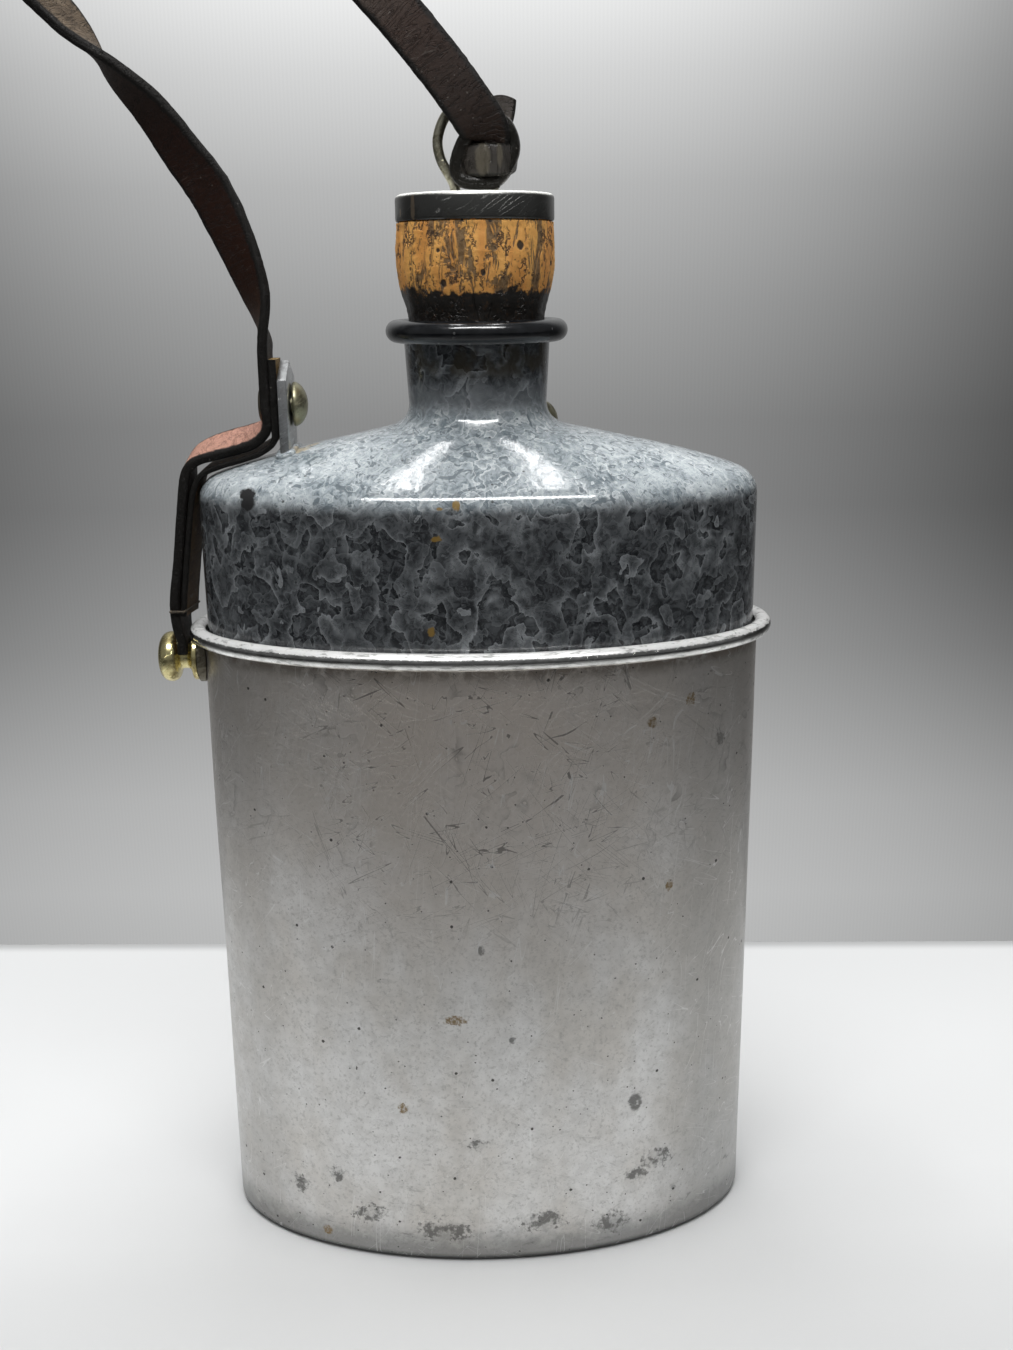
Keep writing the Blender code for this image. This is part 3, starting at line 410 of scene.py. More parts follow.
def make_cup_metal():
    """Drawn aluminium: warm and scratched above, stained at the foot, polished on the bead; painted shade
    on its sides and a painted shadow along its foot, dirt and painted shade under its bead, and a painted
    highlight and dark reflection line on the bead.
    """
    material, place = new_finish("cup_aluminium_worn")
    x, _, z = split(place)
    drawn = cloud(stretch(place, 0.9, 0.9, 0.05), 1.0, 3.0, 0.6)
    cloudy = cloud(stretch(place, 1.0, 1.0, 0.6), 0.045, 3.0, 0.6)
    mottled = cloud(place, 0.30, 4.0, 0.65)
    fine = cloud(place, 1.1, 3.0, 0.7)
    bead = z.fade(151.2, 151.9)

    # painted shade: the wall darkens towards both sides, more on the right
    sides = x.fade(34.0, 56.0, 0.0, 0.60) + x.fade(-58.0, -44.0, 0.38, 0.0)
    warm = z.fade(62.0, 145.0, 0.0, 0.65) * abs(x + 4.0).fade(10.0, 58.0, 1.0, 0.35)
    low = (z + mottled * 12.0).fade(9.0, 17.0, 1.0, 0.0)
    # dirt and painted shade: a brown band just under the bead
    dirt_and_shade_under_bead = z.fade(147.5, 151.0, 0.0, 0.75) * mottled.fade(0.35, 0.55, 0.3, 1.0)
    smears = z.fade(4.0, 46.0, 1.0, 0.0) * cloud(
        stretch(place, 1.0, 1.0, 2.2), 0.16, 5.0, 0.7, 0.6).fade(0.60, 0.70)
    marks = spots(place, CUP_MARKS) * mottled.fade(0.44, 0.56, 0.2, 1.0)
    stains = spots(place, CUP_STAINS) * fine.fade(0.40, 0.54, 0.35, 1.0)
    pits = specks(place, 0.22, 0.085, 0.30) | specks(place, 0.60, 0.12, 0.16)

    dark = joined([scratches(place, turn, 0.34, 0.018, width, share)
                   for turn, share, width in DARK_SCRATCHES]
                  + [scratches(place, turn, 0.20, 0.010, 0.0013, 0.26) for turn in LONG_SCRATCH_TURNS])
    bright = joined([scratches(place, turn, 0.26, 0.022, width, share)
                     for turn, share, width in BRIGHT_SCRATCHES])
    upper = z.fade(78.0, 112.0, 0.12, 1.0) * abs(x + 2.0).fade(26.0, 44.0, 1.0, 0.35)
    squiggles = veins(place, 0.10, 8.0, 1.5, 5.0)[0] * z.fade(96.0, 112.0) * cloudy.fade(0.46, 0.56)
    dark = ((dark * upper) | (squiggles * 0.8)) * (1.0 - bead)

    # painted highlight: the bead's top is painted near white and made less metallic, with a painted dark
    # reflection line below it
    painted_bead_highlight = (z + fine * 0.9).fade(154.95, 155.25)
    dark_reflection_line_gap = abs(z + mottled * 0.8 - 154.45)
    streaky = cloud(stretch(place, 0.25, 0.6, 1.6), 0.9, 4.0, 0.7)
    polished = layered(
        blended(mottled.fade(0.38, 0.62), (0.70, 0.70, 0.68), (0.92, 0.92, 0.90)),
        (fine.fade(0.60, 0.72, 0.0, 0.55), (0.24, 0.24, 0.23)),
        (dark_reflection_line_gap.fade(0.10, 0.90, 0.75, 0.0), (0.20, 0.20, 0.195)),
        (painted_bead_highlight * 0.75, (0.92, 0.92, 0.91)),
        (streaky.fade(0.52, 0.62, 0.0, 0.62), (0.20, 0.20, 0.19)))
    colour = layered(
        blended(cloudy.fade(0.35, 0.65), (0.66, 0.635, 0.60), (0.77, 0.765, 0.755)),
        (mottled.fade(0.35, 0.68, 0.0, 0.28), (0.42, 0.41, 0.39)),
        (fine.fade(0.50, 0.70, 0.0, 0.45), (0.34, 0.335, 0.32)),
        (sides, (0.27, 0.268, 0.26)),
        (warm, (0.72, 0.635, 0.565)),
        (low * 0.75, (0.22, 0.22, 0.215)),
        # painted shadow: a dark line round the foot where the cup meets the table
        (z.fade(0.9, 2.6, 0.85, 0.0), (0.07, 0.07, 0.068)),
        (dirt_and_shade_under_bead, (0.20, 0.165, 0.13)),
        (smears * 0.75, (0.20, 0.20, 0.195)),
        (marks * 0.70, (0.10, 0.10, 0.095)),
        (stains * 0.9, (0.25, 0.175, 0.085)),
        (pits * 0.9, (0.045, 0.043, 0.04)),
        (dark * 0.75, (0.15, 0.14, 0.13)),
        (bright * z.fade(30.0, 110.0, 0.8, 1.0) * 0.42, (0.85, 0.85, 0.84)),
        (bead, polished))
    roughness = mottled * 0.14 + 0.33 + marks * 0.2 - bead * 0.17
    height = drawn * 0.30 + mottled * 0.3 - (dark | (bright * 0.6) | pits) * 0.6
    return finish_with(material, colour, roughness, 1.0 - painted_bead_highlight * 0.75, height, 0.00008, 0.5)


CAP_STREAKS = [((-13.4, -11.6, 248.4), 0.75, 0.7, 0.25), ((-16.3, -7.0, 247.6), 0.45, 0.6, 0.5)]


def make_worn_metal(name, bright, dull, roughness, patches=0.25, share=0.5, top=None):
    """A plain metal with cloudy tarnish, pits and fine scratches; above the height named top
    it is painted bright, a painted highlight on the top face."""
    material, place = new_finish(name)
    metal = 1.0
    cloudy = cloud(place, patches, 4.0, 0.6, 0.4)
    fine = cloud(place, 2.2, 3.0, 0.7)
    tarnish = cloudy.fade(0.62 - 0.3 * share, 0.80 - 0.3 * share)
    colour = layered(blended(tarnish, bright, dull), (fine.fade(0.55, 0.75, 0.0, 0.5), dull))
    if top:
        # painted highlight: the top face is painted near white and less metallic, as if lit from above; the
        # tin tone here is this painted light
        rubbed = (split(place)[2] + fine * 0.5).fade(top, top + 0.5)
        tin = blended(cloudy.fade(0.35, 0.65), (0.95, 0.95, 0.90), (0.66, 0.66, 0.61))
        colour = layered(colour, (rubbed, tin), (spots(place, CAP_STREAKS) * 0.6, (0.36, 0.28, 0.20)))
        metal = 1.0 - rubbed * 0.8
    pits = specks(place, 1.1, 0.17, 0.2)
    lines = scratches(place, 0.6, 0.9, 0.08, 0.008, 0.28)
    colour = layered(colour, (pits * 0.6, scaled(dull, 0.35)), (lines * 0.4, scaled(bright, 1.8)))
    height = fine * 0.5 - (pits | lines) * 0.5
    return finish_with(material, colour, tarnish * 0.18 + roughness + fine * 0.08, metal, height,
                       0.00006, 0.5)


def make_lip_enamel():
    """Black enamel, rubbed in places and grey on its underside."""
    material, place = new_finish("black_lip_enamel_worn", Specular_IOR_Level=0.6)
    cloudy = cloud(place, 0.35, 3.0, 0.6)
    rub = specks(place, 0.6, 0.22, 0.12)
    colour = layered(
        blended(cloudy.fade(0.4, 0.7), (0.003, 0.0035, 0.0045), (0.010, 0.011, 0.013)),
        (rub * 0.5, (0.10, 0.10, 0.10)),
        (split(place)[2].fade(220.1, 220.7, 0.5, 0.0), (0.30, 0.30, 0.30)))
    roughness = (cloudy * 0.12 + 0.13) | (rub * 0.45)
    return finish_with(material, colour, roughness, 0.0, cloud(place, 0.8), 0.00008, 0.4)


CORK_PITS = [((-8.2, -16.0, 239.6), 0.55, 0.8, 1.0), ((-7.2, -15.9, 232.6), 0.85, 0.9, 0.9),
             ((9.6, -15.2, 240.4), 0.95, 0.9, 1.0), ((1.4, -17.6, 235.0), 0.55, 0.9, 0.8)]
CORK_BARK = [((-12.6, -12.8, 235.0), 3.0, 2.4, 0.30), ((-4.2, -17.4, 240.0), 3.0, 2.6, 0.45),
             ((13.4, -11.9, 238.0), 3.0, 2.2, 0.25), ((2.6, -17.8, 243.2), 3.6, 2.6, 0.9),
             ((-0.4, -17.8, 237.5), 2.4, 2.6, 0.6), ((-9.5, -15.3, 245.0), 5.0, 2.6, 1.6),
             ((6.0, -17.0, 232.5), 3.0, 2.8, 1.4)]


def make_cork():
    """Orange cork with bark, cracks and holes, soaked dark towards the mouth."""
    material, place = new_finish("cork_with_fissures")
    z = split(place)[2]
    upright = stretch(place, 1.0, 1.0, 0.30)
    grain = cloud(place, 1.1, 4.0, 0.7)
    tone = cloud(upright, 0.22, 3.0, 0.6)
    warped = cloud(place, 0.5, 3.0, 0.7, output="Color").vector(
        "MULTIPLY_ADD", (3.4, 3.4, 3.4), upright)
    cells = put(place.tree, "ShaderNodeTexVoronoi", {"Vector": warped, "Scale": 0.30},
                feature="DISTANCE_TO_EDGE")
    thin = out(cells, "Distance").fade(0.018, 0.075, 1.0, 0.0)
    cracked = thin * cloud(place, 0.22, 2.0).fade(0.44, 0.54)
    streaks = cloud(stretch(place, 1.0, 1.0, 0.20), 0.34, 4.0, 0.7, 0.9)
    bark = streaks.fade(0.58, 0.63) | (spots(place, CORK_BARK) * streaks.fade(0.44, 0.52))
    small_holes = specks(place, 1.2, 0.20, 0.30)
    holes = spots(place, CORK_PITS) | specks(place, 0.36, 0.19, 0.16) | (small_holes * 0.75)
    soaked = (z + cloud(place, 0.30, 4.0, 0.65) * 9.0).fade(235.2, 236.4, 1.0, 0.0)
    skin = blended(grain.fade(0.40, 0.62), (0.030, 0.022, 0.012), (0.16, 0.115, 0.062))
    damp = blended(grain.fade(0.52, 0.70), (0.007, 0.005, 0.003), (0.045, 0.022, 0.008))
    colour = layered(
        blended(tone.fade(0.36, 0.64), (0.76, 0.33, 0.070), (0.92, 0.47, 0.115)),
        (grain.fade(0.46, 0.74, 0.0, 0.55), (0.60, 0.27, 0.06)),
        (bark * 0.85, skin),
        (cracked * 0.9, (0.040, 0.018, 0.006)),
        (holes * 0.95, (0.008, 0.005, 0.003)),
        (soaked, damp))
    height = grain * 0.35 - holes * 0.9 - (cracked | bark) * 0.5
    return finish_with(material, colour, 0.80 - soaked * 0.40, 0.0, height, 0.00040, 0.8)


STRAP_REACH = 400.0


def tones_along(along, tones):
    """A colour that changes along a strap; each tone is given with its distance in mm."""
    return ramped(along / STRAP_REACH, [(at / STRAP_REACH, tone) for at, tone in tones])


def make_leather(name, grain_tones, flesh_tones, edge_tone, dusty, shine, painted_highlights=None):
    """Strap leather: a creased grain side and a fuzzy flesh side, whose tones change
    along the strap, and burnished edges; painted shade darkens the creases, and
    painted highlights lighten the spots given."""
    material, place = new_finish(name, Specular_IOR_Level=0.16)
    lay = out(put(place.tree, "ShaderNodeAttribute", attribute_name="lay"), "Vector")
    rim = out(put(place.tree, "ShaderNodeAttribute", attribute_name="rim"), "Fac")
    along, _, through = split(lay)
    fine = cloud(place, 2.4, 4.0, 0.7)
    creases = cloud(stretch(lay, 1.0, 0.25, 1.0), 0.55, 3.0, 0.6, 1.4)
    folds = abs(creases - 0.5).fade(0.0, 0.035, 1.0, 0.0)
    nap = cloud(stretch(lay, 0.7, 1.0, 1.0), 1.6, 5.0, 0.8)
    skin = tones_along(along, grain_tones)
    grain = blended(cloud(place, 0.16, 3.0, 0.6).fade(0.35, 0.65), skin,
                    tinted(skin, (0.62, 0.60, 0.58)))
    bare_flesh = tones_along(along, flesh_tones)
    flesh = blended(nap.fade(0.40, 0.66, 0.0, 0.55), bare_flesh,
                    tinted(bare_flesh, (0.45, 0.42, 0.40)))
    is_flesh = through.fade(-0.15, 0.15, 1.0, 0.0)
    colour = blended(is_flesh, grain, flesh)

    uneven = (cloud(place, 0.8) - 0.5) * 0.24
    rubbed_edge = blended(cloud(place, 1.6, 4.0, 0.7).fade(0.60, 0.72, 0.0, 0.5), edge_tone,
                          scaled(edge_tone, 5.0))
    colour = layered(
        colour,
        # painted shade: the crease lines are darkened
        (folds * 0.60, tinted(colour, (0.30, 0.28, 0.27))),
        (cloud(place, 0.9, 5.0, 0.75).fade(0.58, 0.72, 0.0, dusty), (0.24, 0.225, 0.20)),
        (scratches(place, 0.4, 0.9, 0.12, 0.008, 0.16) * dusty, (0.36, 0.33, 0.29)),
        ((rim + uneven).fade(0.70, 0.88), rubbed_edge))
    # painted highlights: the given spots are lightened to show shine
    if painted_highlights:
        colour = layered(colour, (spots(place, painted_highlights) * 0.45, (0.17, 0.15, 0.11)))
    nicks = specks(place, 0.75, 0.14, 0.18)
    colour = layered(colour, (nicks * (1.5 * dusty), (0.45, 0.42, 0.37)))
    height = fine * 0.4 - folds * 0.5 + nap * is_flesh * 0.6
    return finish_with(material, colour, fine * 0.2 + shine, 0.0, height, 0.00030, 0.8)


def make_thread():
    material, place = new_finish("waxed_linen_thread")
    strands = cloud(stretch(place, 2.0, 1.0, 6.0), 1.2, 3.0, 0.6)
    colour = blended(strands.fade(0.4, 0.6), (0.085, 0.066, 0.042), (0.040, 0.030, 0.020))
    return finish_with(material, colour, 0.8, 0.0, strands, 0.00015, 0.8)


# Painted highlights on the front of the knot's turn: centre, radius, raggedness and flatness.
KNOT_PAINTED_HIGHLIGHTS = [((1.8, -7.8, 258.6), 1.7, 0.5, 0.45), ((5.4, -7.0, 259.2), 0.8, 0.4, 0.30)]
STRAP_UPPER = [(0, (0.020, 0.010, 0.006)), (16, (0.020, 0.010, 0.006)), (32, (0.045, 0.026, 0.019)),
               (52, (0.10, 0.078, 0.065)), (120, (0.09, 0.07, 0.055))]
STRAP_GRAIN = STRAP_UPPER + [
    (150, (0.17, 0.125, 0.088)), (188, (0.13, 0.095, 0.062)), (202, (0.02, 0.014, 0.010))]
STRAP_FLESH = STRAP_UPPER + [
    (192, (0.026, 0.018, 0.014)), (215, (0.026, 0.010, 0.006)), (248, (0.032, 0.010, 0.004)),
    (266, (0.06, 0.035, 0.02)), (276, (0.56, 0.305, 0.235)), (298, (0.50, 0.27, 0.20)),
    (308, (0.10, 0.06, 0.04))]
LINING_TOP = (0, (0.30, 0.20, 0.075))
DARK_EDGE = (0.008, 0.007, 0.006)

MOTTLED_ENAMEL = make_enamel()
CUP_METAL = make_cup_metal()
LIP_ENAMEL = make_lip_enamel()
CORK_SKIN = make_cork()
CAP_METAL = make_worn_metal("tarnished_cap_metal_painted_top_highlight", (0.115, 0.115, 0.109), (0.064, 0.063, 0.058),
                            0.30, 0.15, top=251.1)
EYE_METAL = make_worn_metal("eye_wire_metal_worn", (0.40, 0.385, 0.30), (0.17, 0.155, 0.11), 0.30, 0.40)
LUG_METAL = make_worn_metal("bare_lug_metal_worn", (0.50, 0.51, 0.515), (0.24, 0.24, 0.24),
                            0.26, 0.22, 0.4)
RIVET_BRASS = make_worn_metal("aged_rivet_brass_worn", (0.30, 0.285, 0.19), (0.13, 0.12, 0.08),
                              0.34, 0.35)
STUD_BRASS = make_worn_metal("polished_stud_brass_worn", (0.68, 0.60, 0.31), (0.33, 0.27, 0.12),
                             0.20, 0.30, 0.35)
WASHER_METAL = make_worn_metal("dark_washer_metal_worn", (0.16, 0.145, 0.11), (0.07, 0.06, 0.045),
                               0.45, 0.40)
WIRE_STEEL = make_worn_metal("rim_wire_steel_worn", (0.42, 0.41, 0.40), (0.18, 0.15, 0.12), 0.40, 0.40)
STRAP_LEATHER = make_leather("worn_strap_leather", STRAP_GRAIN, STRAP_FLESH, DARK_EDGE, 0.10, 0.46)
KNOT_LEATHER = make_leather("burnished_knot_leather_painted_highlights", [(0, (0.026, 0.021, 0.016))],
                            [(0, (0.045, 0.034, 0.026))], (0.012, 0.011, 0.009), 0.10, 0.12, KNOT_PAINTED_HIGHLIGHTS)
LINING_LEATHER = make_leather("thin_lining_leather", [LINING_TOP, (9, (0.12, 0.07, 0.03))],
                              [LINING_TOP, (9, (0.19, 0.11, 0.045))], DARK_EDGE, 0.15, 0.5)
THREAD = make_thread()


# ---------------------------------------------------------------- mesh helpers

MERGE = 1e-6
ACROSS, UP, SIDEWAYS = Vector((0, 1, 0)), Vector((0, 0, 1)), Vector((1, 0, 0))


def link(name, data):
    item = bpy.data.objects.new(name, data)
    bpy.context.scene.collection.objects.link(item)
    return item


def settle(name, bm, material, body=None, sharp=40.0):
    """Turn a bmesh into a piece; edges sharper than the limit stay crisp."""
    bmesh.ops.remove_doubles(bm, verts=bm.verts[:], dist=MERGE)
    bmesh.ops.recalc_face_normals(bm, faces=bm.faces[:])
    limit = math.radians(sharp)
    for face in bm.faces:
        face.smooth = True
    for edge in bm.edges:
        if len(edge.link_faces) == 2:
            edge.smooth = edge.calc_face_angle(0.0) < limit
    mesh = bpy.data.meshes.new(name)
    bm.to_mesh(mesh)
    bm.free()
    mesh.materials.append(material)
    piece = link(name, mesh)
    if body:
        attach(piece, body)
    return piece


def even_curve(stops, steps):
    """Catmull-Rom points through stops of any number of values."""
    points = []
    last = len(stops) - 1
    for index in range(last):
        before, after = stops[max(index - 1, 0)], stops[min(index + 2, last)]
        for step in range(steps):
            t = step / steps
            points.append(tuple(
                0.5 * (2 * q + (r - p) * t + (2 * p - 5 * q + 4 * r - s) * t * t
                       + (3 * q - p - 3 * r + s) * t ** 3)
                for p, q, r, s in zip(before, stops[index], stops[index + 1], after)))
    points.append(tuple(stops[last]))
    return points


def arc(radius, start, end, steps):
    """Offsets on an arc between two angles in degrees."""
    turns = [math.radians(start + (end - start) * step / steps) for step in range(steps + 1)]
    return [(radius * math.cos(turn), radius * math.sin(turn)) for turn in turns]


def turned(name, profile, material, body, place=(0, 0, 0), towards="Z", steps=96, closed=False,
           tilt=Matrix.Identity(4)):
    """A piece turned from a profile of radius and height in millimetres."""
    bm = bmesh.new()
    verts = [bm.verts.new(mm(radius, 0, height)) for radius, height in profile]
    edges = [bm.edges.new(pair) for pair in zip(verts, verts[1:])]
    if closed:
        edges.append(bm.edges.new((verts[-1], verts[0])))
    bmesh.ops.spin(bm, geom=verts + edges, cent=(0, 0, 0), axis=(0, 0, 1), angle=2 * math.pi,
                   steps=steps, use_merge=True)
    turns = {"Z": 0.0, "+X": math.pi / 2, "-X": -math.pi / 2}
    matrix = Matrix.Translation(mm(*place)) @ tilt @ Matrix.Rotation(turns[towards], 4, "Y")
    bmesh.ops.remove_doubles(bm, verts=bm.verts[:], dist=MERGE)
    bmesh.ops.transform(bm, matrix=matrix, verts=bm.verts[:])
    return settle(name, bm, material, body)


def oval_skin(name, rings, material, body, relief, steps=144):
    """Oval rings of half width, half depth and height in millimetres, drawn up one
    after another from a first circle; a ring of no width closes an end."""
    bm = bmesh.new()
    closes = rings[0][0] <= 0, rings[-1][0] <= 0
    rings = [(max(wide, 0.01), max(deep, 0.01), height) for wide, deep, height in rings]
    wide, deep, height = rings[0]
    made = bmesh.ops.create_circle(bm, cap_ends=closes[0], segments=steps, radius=0.001)
    bmesh.ops.scale(bm, vec=(wide, deep, 1.0), verts=made["verts"])
    bmesh.ops.translate(bm, vec=mm(0, 0, height), verts=made["verts"])
    edges = bm.edges[:]
    for old, new in zip(rings, rings[1:]):
        grown = bmesh.ops.extrude_edge_only(bm, edges=edges)["geom"]
        verts = [item for item in grown if isinstance(item, bmesh.types.BMVert)]
        edges = [item for item in grown if isinstance(item, bmesh.types.BMEdge)
                 and all(vert in verts for vert in item.verts)]
        bmesh.ops.scale(bm, vec=(new[0] / old[0], new[1] / old[1], 1.0), verts=verts)
        bmesh.ops.translate(bm, vec=mm(0, 0, new[2] - old[2]), verts=verts)
    if closes[1]:
        bmesh.ops.holes_fill(bm, edges=edges, sides=0)
    for vert in bm.verts:
        vert.co = relief(vert.co)
    return settle(name, bm, material, body)


def outwards(co, half_width, half_depth):
    """The direction out of an oval wall at a point, or None on its axis."""
    way = Vector((co.x / half_width ** 2, co.y / half_depth ** 2, 0.0))
    return way.normalized() if way.length >= 1e-9 else None


# ---------------------------------------------------------------- cup

CUP_X, CUP_Y, CUP_SHEET = 66.3, 34.4, 0.7
CUP_WAVE_M, CUP_WAVES = 0.00022, 22.0
FOOT_R, FOOT_IN = 2.1, 12
BEAD_Z, BEAD_R, BEAD_OUT = 153.7, 2.0, 1.3


def cup_ring(out_by, height):
    return (CUP_X + out_by, CUP_Y + out_by, height)


def dented(co):
    """Slight unevenness of the hand-worn sheet."""
    way = outwards(co, CUP_X, CUP_Y)
    if way is None:
        return co
    side = min(1.0, Vector((co.x * 1000 / CUP_X, co.y * 1000 / CUP_Y)).length)
    return co + way * CUP_WAVE_M * noise.noise(co * CUP_WAVES) * side ** 4


def build_cup():
    inner_foot_r = FOOT_R - CUP_SHEET
    rings = [(0, 0, 0.0), cup_ring(-FOOT_IN, 0.0), cup_ring(-2.6, 0.0)]
    rings += [cup_ring(x - FOOT_R, FOOT_R + z) for x, z in arc(FOOT_R, -90, 0, 8)[1:]]
    rings += [cup_ring(0.0, height) for height in (*range(10, 150, 7), BEAD_Z - 3.0)]
    inner_curl, outer_curl = [
        [cup_ring(BEAD_OUT + x, BEAD_Z + z) for x, z in arc(radius, -110, 180, 24)]
        for radius in (BEAD_R - CUP_SHEET, BEAD_R)]
    rings += inner_curl[::-1] + outer_curl
    rings += [cup_ring(-CUP_SHEET, height) for height in range(150, 8, -7)]
    rings += [cup_ring(x - FOOT_R, FOOT_R + z) for x, z in arc(inner_foot_r, 0, -90, 8)]
    rings += [cup_ring(-FOOT_IN, CUP_SHEET), (0, 0, CUP_SHEET)]
    cup = oval_skin("drawn_cup", rings, CUP_METAL, "cup", dented)
    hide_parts("cup_shell")


def build_stud():
    neck, flange, shank, wall = 3.0, 5.75, 2.0, 65.7
    profile = even_curve([(0.0, 77.5), (2.2, 77.4), (4.2, 77.0), (5.5, 76.1), (6.0, 74.9), (5.9, 73.8),
                          (5.3, 72.9), (4.4, 72.5)], 4)
    profile += even_curve([(neck + 0.4, 72.35), (neck, 71.9), (neck, 70.6), (neck + 0.5, 69.8),
                           (flange - 0.8, 69.2), (flange - 0.1, 68.95), (flange, 68.6)], 4)
    profile += [(flange, 67.9), (shank, 67.9), (shank, wall), (0.0, wall)]
    stud = turned("brass_stud", profile, STUD_BRASS, "cup", (0, 0, 147.0), "-X")
    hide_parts("cup_stud")


# ---------------------------------------------------------------- bottle

BOTTLE_X, BOTTLE_Y, BOTTLE_SHEET = 65.2, 33.3, 1.0
BOTTLE_WAVE_M, BOTTLE_WAVES, SMOOTH_ABOVE_M = 0.00012, 45.0, 0.2
SHOULDER_Z, SHOULDER_RISE = 184.4, 21.8
NECK_ROOT_R, NECK_R, NECK_ROOT_Z, MOUTH_Z = 15.8, 16.7, 206.2, 222.0
# Shares of the way in from the side and the front, and up, from the wall to the neck's root.
SHOULDER = (
    (0.000, 0.000, 0.000), (0.006, 0.017, 0.110), (0.032, 0.080, 0.210), (0.081, 0.189, 0.295),
    (0.227, 0.360, 0.410), (0.429, 0.531, 0.528), (0.632, 0.669, 0.630), (0.804, 0.771, 0.711),
    (0.911, 0.851, 0.770), (0.964, 0.914, 0.834), (0.990, 0.971, 0.908), (1.000, 1.000, 1.000),
)


def shoulder_rings(steps):
    """The shoulder's rings, from the wall up to the neck's root."""
    return [(BOTTLE_X + (NECK_ROOT_R - BOTTLE_X) * side_in,
             BOTTLE_Y + (NECK_ROOT_R - BOTTLE_Y) * front_in,
             SHOULDER_Z + SHOULDER_RISE * share)
            for side_in, front_in, share in even_curve(SHOULDER, steps)]


def pressed(co):
    """Faint waviness of the pressed and enamelled sheet, but not on the neck."""
    way = outwards(co, BOTTLE_X, BOTTLE_Y)
    if co.z > SMOOTH_ABOVE_M or way is None:
        return co
    return co + way * BOTTLE_WAVE_M * noise.noise(co * BOTTLE_WAVES)


def sheet_inside(outside):
    """The rings one sheet's thickness inside others, square to the wall."""
    inside = []
    for index, ring in enumerate(outside):
        before, after = outside[max(index - 1, 0)], outside[min(index + 1, len(outside) - 1)]
        halves, lifts = [], []
        for side in (0, 1):
            run, rise = after[side] - before[side], after[2] - before[2]
            length = math.hypot(run, rise)
            halves.append(ring[side] - BOTTLE_SHEET * rise / length)
            lifts.append(BOTTLE_SHEET * run / length)
        inside.append((*halves, ring[2] + 0.5 * sum(lifts)))
    return inside


def build_bottle():
    rings = [(BOTTLE_X, BOTTLE_Y, height) for height in (3.2, 30, 60, 90, 120, 140, 150, 160, 170, 180)]
    rings += shoulder_rings(4)
    for share in (0.08, 0.2, 0.4, 0.6, 0.8, 1.0):
        radius = NECK_ROOT_R + (NECK_R - NECK_ROOT_R) * share
        rings.append((radius, radius, NECK_ROOT_Z + (MOUTH_Z - NECK_ROOT_Z) * share))
    bottle = oval_skin("enamelled_bottle", rings + sheet_inside(rings)[::-1] + rings[:1],
                       MOTTLED_ENAMEL, "bottle", pressed)
    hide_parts("bottle_body")


def build_lip():
    tube, centre, level = 2.5, 18.2, 222.4
    profile = [(17.0, 222.3)] + [(centre + x, level + z) for x, z in arc(tube, 182.3, -118.7, 32)]
    lip = turned("black_lip_ring", profile, LIP_ENAMEL, "bottle", closed=True, steps=128)
    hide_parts("lip_ring")


# ---------------------------------------------------------------- stopper

def worn_cork(co):
    """Shallow hollows in the cork's side, above the mouth and below the cap; in metres."""
    radius = math.hypot(co.x, co.y)
    if radius < 0.012 or co.z < 0.2235:
        return co
    hollow = 0.00034 * noise.noise(Vector((co.x, co.y, co.z * 0.4)) * 330.0)
    hollow += 0.00012 * noise.noise(co * 1100.0)
    below_cap = min(1.0, max(0.0, (0.2452 - co.z) / 0.001))
    grow = 1 + (hollow - 0.00008) * below_cap / radius
    return Vector((co.x * grow, co.y * grow, co.z))


def build_stopper():
    side = even_curve([(17.55, 245.6), (17.8, 242.0), (17.8, 238.0), (17.6, 234.5), (16.9, 231.0),
                       (15.9, 227.5), (15.4, 224.5), (15.15, 222.0)], 10)
    profile = [(0.0, 250.6), (16.3, 250.6), (16.8, 250.1), (16.8, 245.6)] + side
    profile += even_curve([(15.1, 221.9), (14.5, 214.0), (13.95, 206.9)], 6) + [(13.4, 206.3), (0.0, 206.3)]
    cork = turned("cork_body", profile, CORK_SKIN, "stopper", steps=160)
    for vert in cork.data.vertices:
        vert.co = worn_cork(vert.co)
    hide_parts("stopper_cork")

    cap_r, cap_top, bend = 17.7, 251.6, 1.1
    profile = [(0.0, cap_top), (6.0, cap_top), (12.0, cap_top)]
    profile += [(cap_r - bend + x, cap_top - bend + z) for x, z in arc(bend, 90, 0, 6)]
    profile += [(cap_r, 248.5), (17.72, 246.6), (17.66, 246.1), (17.5, 245.9), (17.1, 245.95),
                (17.1, 250.3), (16.7, 250.9), (0.0, 251.0)]
    cap = turned("pressed_cap", profile, CAP_METAL, "stopper", steps=128)
    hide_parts("stopper_cap")


def pipe(name, route, radius, material, body, resolution=5):
    """A round wire along a route of millimetre points."""
    curve = bpy.data.curves.new(name, "CURVE")
    curve.dimensions = "3D"
    spline = curve.splines.new("POLY")
    spline.points.add(len(route) - 1)
    for point, stop in zip(spline.points, route):
        point.co = (*mm(*stop), 1.0)
    curve.bevel_depth = radius / 1000
    curve.bevel_resolution = resolution
    curve.use_fill_caps = True
    source = link(name + "_route", curve)
    bpy.context.view_layer.update()
    mesh = bpy.data.meshes.new_from_object(source.evaluated_get(bpy.context.evaluated_depsgraph_get()))
    bpy.data.objects.remove(source, do_unlink=True)
    bm = bmesh.new()
    bm.from_mesh(mesh)
    bpy.data.meshes.remove(mesh)
    return settle(name, bm, material, body, 60.0)


